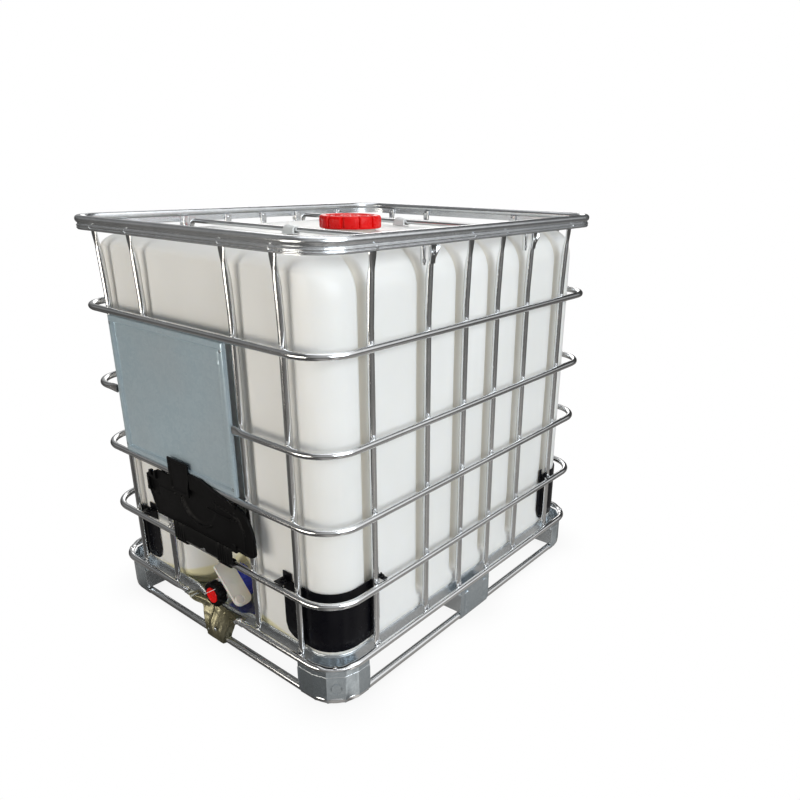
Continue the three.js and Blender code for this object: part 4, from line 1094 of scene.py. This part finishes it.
FLAP_HALF, FLAP_FACE, CLIP_X = 0.2315, -0.6002, 0.097
CLIP_GROOVES = (-0.014, -0.0047, 0.0047, 0.014)


def flap_top(x):
    """The upper edge of the thin part that passes in front of the hoop."""
    top = 0.513 - 0.27 * max(x - 0.036, 0.0)
    if x > 0.18:
        top -= 0.075 * (1 - math.sqrt(max(0.0, 1 - ((x - 0.18) / 0.0525) ** 2)))
    return top


def flap_outline(x):
    """Lowest and highest heights of the flap's panel at x."""
    low, high = 0.338, min(0.4775, flap_top(x))
    if x < -0.203:
        low = 0.338 + 0.072 * (-0.203 - x) / 0.0285
    if x < -0.186:
        high -= 0.018 * ease(-x, 0.186, 0.205)
    if x > 0.137:
        low = 0.345 + 0.011 * (1 - ease(x, 0.146, 0.156))
    if x > 0.206:
        low += 0.02 * (1 - math.sqrt(max(0.0, 1 - ((x - 0.206) / 0.0262) ** 2)))
    return low, high


def ridge(away, half, soft=0.002):
    """1 on a ridge's crest and 0 beyond its foot."""
    return 1 - ease(abs(away), half, half + soft)


def flap_relief(x, z):
    """How far the panel's face is pressed in at (x, z)."""
    edge = min(x + FLAP_HALF, FLAP_HALF - x, z - flap_outline(x)[0], flap_top(x) - z)
    sunk = 0.003 * ease(edge, 0.006, 0.0085)
    bowl = math.hypot(x - 0.005, z - 0.452)
    sunk += 0.002 * (1 - ease(bowl, 0.07, 0.078))
    sunk -= 0.0038 * ridge(bowl - 0.083, 0.0022) * ease(-x - z, -0.45, -0.42)
    right = 1 - ease(x, 0.16, 0.168)
    slant = z - 0.457 + 0.16 * (x - 0.076)
    sunk -= 0.003 * ridge(z - 0.431, 0.0016) * ease(x, 0.036, 0.042) * right
    sunk -= 0.003 * ridge(slant, 0.0016) * ease(x, 0.068, 0.074) * right
    sunk -= 0.0026 * ridge(z - 0.428, 0.0018) * ease(x, -0.186, -0.18) * (1 - ease(x, -0.108, -0.1))
    wall = math.hypot(x - 0.12, max(z - 0.385, 0.0)) if x > 0.12 else 0.0
    sunk -= 0.0034 * ridge(wall - 0.074, 0.002) * ease(x, 0.15, 0.158)
    boss = math.hypot(x + 0.076, z - 0.412)
    sunk += 0.0012 * (1 - ease(boss, 0.003, 0.0045)) - 0.004 * (1 - ease(boss, 0.007, 0.009))
    window = min(x + 0.214, -0.182 - x, z - 0.4, 0.44 - z)
    return max(sunk + 0.0028 * ease(window, 0.0, 0.0024), -0.0018)


def flap_panel(shape):
    """The panel's pressed face, its flat back, and the border that joins them."""
    columns, levels = 190, 71
    rows = []
    for v in steps(0, 1, levels):
        row = []
        for x in steps(-FLAP_HALF, FLAP_HALF, columns):
            low, high = flap_outline(x)
            z = lerp(low, high, v)
            end = min(x + FLAP_HALF, FLAP_HALF - x, z - low, high - z)
            row.append((x, FLAP_FACE + flap_relief(x, z) + rounded(end, 0.0028), z))
        rows.append(row)
    back = [[(x, -0.5928, z) for x, y, z in row] for row in rows]
    border = [(0, j) for j in range(columns)] + [(k, columns) for k in range(levels)]
    border += [(levels, j) for j in range(columns, 0, -1)] + [(k, 0) for k in range(levels, 0, -1)]
    shape.sheet(rows)
    shape.sheet(back)
    shape.grid([[side[k][j] for k, j in border] for side in (rows, back)])


def flap_clips(shape):
    """Two ribbed clips round the hoop, each with the arm that carries the panel."""
    for centre in (-CLIP_X, CLIP_X):
        clip, arm = [], []
        for x in steps(centre - 0.0238, centre + 0.0238, 32):
            groove = max(ridge(x - centre - g, 0.0008, 0.0014) for g in CLIP_GROOVES)
            outer = arc(-HOOP_Y, HOOPS[0], 0.0132 - 0.0016 * groove, -152, 183, 24)
            ring = outer + arc(-HOOP_Y, HOOPS[0], 0.0099, 183, -152, 24)
            clip.append([(x, y, z) for y, z in ring])
            front = -0.6015 + 0.0018 * groove
            side = [(front, 0.303), (front, 0.338), (front + 0.0012, 0.344)]
            arm.append([(x, y, z) for y, z in side + [(-0.5935, 0.344), (-0.5935, 0.303)]])
        shape.grid(clip, caps=True)
        shape.grid(arm, caps=True)


def flap_skirt(shape):
    """The ribbed skirt between the clips, with a notch in its lower edge."""
    rows = []
    for x in steps(-0.1222, 0.1372, 130):
        low = 0.2965 + 0.0085 * ease(x, -0.006, -0.003) * (1 - ease(x, 0.017, 0.02))
        groove = max(ridge(abs(x) - CLIP_X - g, 0.001, 0.0014) for g in CLIP_GROOVES)
        step = 0.001 * ease(abs(x), 0.0725, 0.0735) * (1 - ease(abs(x), 0.1208, 0.1216))
        front = -0.6034 - step + 0.0016 * groove
        side = [(front + 0.001, low), (front, low + 0.0015), (front, 0.34), (front + 0.0022, 0.346)]
        rows.append([(x, y, z) for y, z in side + [(-0.6004, 0.346), (-0.6004, low)]])
    shape.grid(rows, caps=True)


def flap_upper(shape):
    """The thin part in front of the hoop."""
    rows = []
    for x in steps(-0.0195, 0.17, 64):
        top = max(flap_top(x), 0.479)
        row = []
        for z in steps(0.468, top, 12):
            row.append((x, -0.6042 + 0.0018 * ease(top - z, 0.005, 0.007) * ease(x, -0.015, -0.012), z))
        rows.append(row + [(x, -0.6004, top), (x, -0.6004, 0.468)])
    shape.grid(rows, caps=True)


def flap_latch(shape):
    """The latch plate over the hoop, with a recessed middle."""
    rows = []
    for v in steps(0, 1, 29):
        z = lerp(0.44, 0.538, v)
        left, right = -0.112, lerp(-0.0285, -0.02, ease(v, 0.25, 0.6))
        xs = steps(left, right, 32)
        row = []
        for x in xs:
            sunk = 0.0026 * ease(min(x - left, right - x, 0.538 - z, z - 0.44), 0.007, 0.0095)
            row.append((x, -0.605 + sunk + 0.0006 * (1 - v), z))
        rows.append(row + [(x, -0.6006, z) for x in xs[::-1]])
    shape.grid(rows, caps=True)
    shape.box((-0.104, -0.601, 0.503), (-0.03, -0.5986, 0.5064))


def add_flap():
    shape = Shape()
    flap_panel(shape)
    flap_clips(shape)
    for x, low, high in ((-0.2315, 0.412, 0.456), (-0.218, 0.453, 0.471), (-0.196, 0.453, 0.473)):
        shape.box((x, -0.6034, low), (x + 0.009, -0.594, high))
    shape.box((-0.2315, -0.603, 0.45), (-0.186, -0.594, 0.457))
    shape.box((-0.2318, -0.604, 0.409), (-0.219, -0.593, 0.418))
    shape.box((0.137, -0.601, 0.34), (0.156, -0.595, 0.358))
    flap_skirt(shape)
    flap_upper(shape)
    flap_latch(shape)
    make("valve_flap_panel", shape, BLACK, "flap", nodes=("valve_flap",), sharp=35)


# ---- Stage --------------------------------------------------------------------------


# Brightness marks: round the walls of the studio and up them, and for the painted reflection bands that the
# floor glows with for glossy rays.
STUDIO_WALLS = ((0.0, 0.1), (0.08, 0.26), (0.14, 0.1), (0.25, 0.08), (0.31, 0.34), (0.42, 0.48))
STUDIO_WALLS += ((0.47, 0.12), (0.53, 0.95), (0.64, 1.0), (0.7, 0.06), (0.84, 0.05), (0.9, 0.6), (1.0, 0.1))
STUDIO_HEIGHTS = ((0.0, 0.35), (0.48, 0.3), (0.53, 0.4), (0.62, 1.0), (0.8, 0.9), (1.0, 1.0))
FLOOR_REFLECTION_BANDS = ((0.0, 0.1), (0.1, 0.3), (0.24, 0.08), (0.31, 0.14), (0.35, 0.5), (0.41, 0.5))
FLOOR_REFLECTION_BANDS += ((0.445, 0.12), (0.47, 0.95), (0.49, 0.95), (0.499, 0.45), (0.56, 0.55), (0.63, 0.2))
FLOOR_REFLECTION_BANDS += ((0.75, 0.4), (0.9, 0.15), (1.0, 0.1))
FLOOR_REFLECTION_FADE = ((0.0, 0.4), (0.03, 0.85), (0.07, 0.6), (0.15, 0.6), (0.26, 0.6), (0.42, 0.3), (1.0, 0.22))


def add_world():
    world = bpy.data.worlds.new("studio")
    world.use_nodes = True
    world.node_tree.nodes.clear()
    tree = Tree(world.node_tree)
    split = tree.node("ShaderNodeSeparateXYZ", {0: tree.node("ShaderNodeTexCoord").outputs["Generated"]})
    height = tree.maths("ADD", tree.maths("MULTIPLY", split.outputs["Z"], 0.5), 0.5)
    around = tree.ramp(tree.bearing(split), STUDIO_WALLS)
    shade = tree.maths("MULTIPLY", around, tree.ramp(height, STUDIO_HEIGHTS))
    soft = tree.node("ShaderNodeBackground", {"Color": shade, "Strength": 1.0})
    white = tree.node("ShaderNodeBackground", {"Color": rgb(1, 1, 1), "Strength": 1.0})
    seen = tree.node("ShaderNodeLightPath").outputs["Is Camera Ray"]
    both = tree.node("ShaderNodeMixShader", {0: seen, 1: soft.outputs[0], 2: white.outputs[0]})
    tree.node("ShaderNodeOutputWorld", {"Surface": both.outputs[0]})
    bpy.context.scene.world = world


def add_floor():
    """A pale floor, glowing white to the camera, with a painted contact shadow next to the object. For glossy
    rays it glows instead with a painted reflection: light and dark bands that run outwards from the object's
    footprint, mirrored in the steel."""
    look = Look("studio_floor", Roughness=0.9)
    look.shader.inputs["Specular IOR Level"].default_value = 0.0
    grey = look.mix(look.span(look.noise(2.0, 3), 0, 1), rgb(0.55, 0.55, 0.55), rgb(0.6, 0.6, 0.6))
    look.put(look.shader.inputs["Base Color"], grey)
    # Painted contact shadow: ambient occlusion greys the glowing white floor next to the object.
    near = look.node("ShaderNodeAmbientOcclusion", {"Distance": 0.12}, samples=8)
    pale = look.mix(near.outputs["AO"], rgb(0.86, 0.86, 0.86), rgb(1, 1, 1))
    glow = look.node("ShaderNodeEmission", {"Color": pale, "Strength": 1.0}).outputs[0]
    rays = look.node("ShaderNodeLightPath").outputs

    def vector(operation, first, second, output=0):
        inputs = {0: first, 1: second} if second else {0: first}
        return look.node("ShaderNodeVectorMath", inputs, operation=operation).outputs[output]

    inside = vector("MAXIMUM", look.place, (-CORNER_X, -CORNER_Y, 0))
    inside = vector("MINIMUM", inside, (CORNER_X, CORNER_Y, 0))
    away = vector("SUBTRACT", look.place, inside)
    around = look.ramp(look.bearing(look.node("ShaderNodeSeparateXYZ", {0: away})), FLOOR_REFLECTION_BANDS)
    outward = look.ramp(look.maths("DIVIDE", vector("LENGTH", away, None, "Value"), 6.0), FLOOR_REFLECTION_FADE)
    # Painted reflection: for glossy rays the floor glows in these light and dark bands round the footprint.
    painted_reflection = look.mix(look.maths("MULTIPLY", around, outward), rgb(0.02, 0.02, 0.02), rgb(1.0, 0.96, 0.91))
    mirrored = look.node("ShaderNodeEmission", {"Color": painted_reflection, "Strength": 1.0}).outputs[0]
    inputs = {0: rays["Is Glossy Ray"], 1: look.shader.outputs[0], 2: mirrored}
    unseen = look.node("ShaderNodeMixShader", inputs).outputs[0]
    both = look.node("ShaderNodeMixShader", {0: rays["Is Camera Ray"], 1: unseen, 2: glow}).outputs[0]
    look.put(look.tree.nodes["Material Output"].inputs["Surface"], both)
    reach = 40
    corners = [[(x, y, 0) for x in (-reach, reach)] for y in (-reach, reach)]
    ground = make("studio_ground", Shape().sheet(corners), (look.material, None), body=None)


def add_lights():
    for name, at, size, power, tone in (
        ("key_right", (4.2, -0.6, 2.2), (3.2, 2.6), 108, (0.94, 0.99, 1.03)),
        ("fill_front", (-0.8, -4.4, 0.8), (3.4, 1.5), 78, (1.0, 0.94, 0.85)),
        ("back_left", (-3.4, 3.8, 2.4), (3.4, 2.6), 60, (1.0, 0.98, 0.96)),
        ("overhead", (0.4, 0.2, 4.4), (3.6, 3.6), 48, (0.96, 0.98, 1.0)),
    ):
        data = bpy.data.lights.new(name, "AREA")
        data.shape, data.energy, data.color = "RECTANGLE", power, tone
        data.size, data.size_y = size
        lamp = bpy.data.objects.new(name, data)
        lamp.location = at
        aim = Vector((0, 0, 0.55)) - Vector(at)
        lamp.rotation_euler = aim.to_track_quat("-Z", "Y").to_euler()
        bpy.context.scene.collection.objects.link(lamp)
    bpy.context.scene.view_settings.view_transform = "Standard"


def finish_hidden_nodes():
    for node, finish in (("lid_gasket", RUBBER), ("cap_gasket", RUBBER), ("valve_stem", BLACK)):
        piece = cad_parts[node]
        piece.data.materials.clear()
        piece.data.materials.append(finish[0])


add_rim()
add_hoops()
add_bottom_rail()
add_uprights()
add_top_bars()
add_plate()
add_tray()
add_ground_ring()
add_feet()
add_chute()
add_guards()
add_bottle()
add_lid()
add_nut()
add_housing()
add_lever()
add_cap()
add_bag_highlight()
add_flap()
finish_hidden_nodes()
add_world()
add_floor()
add_lights()
add_camera()
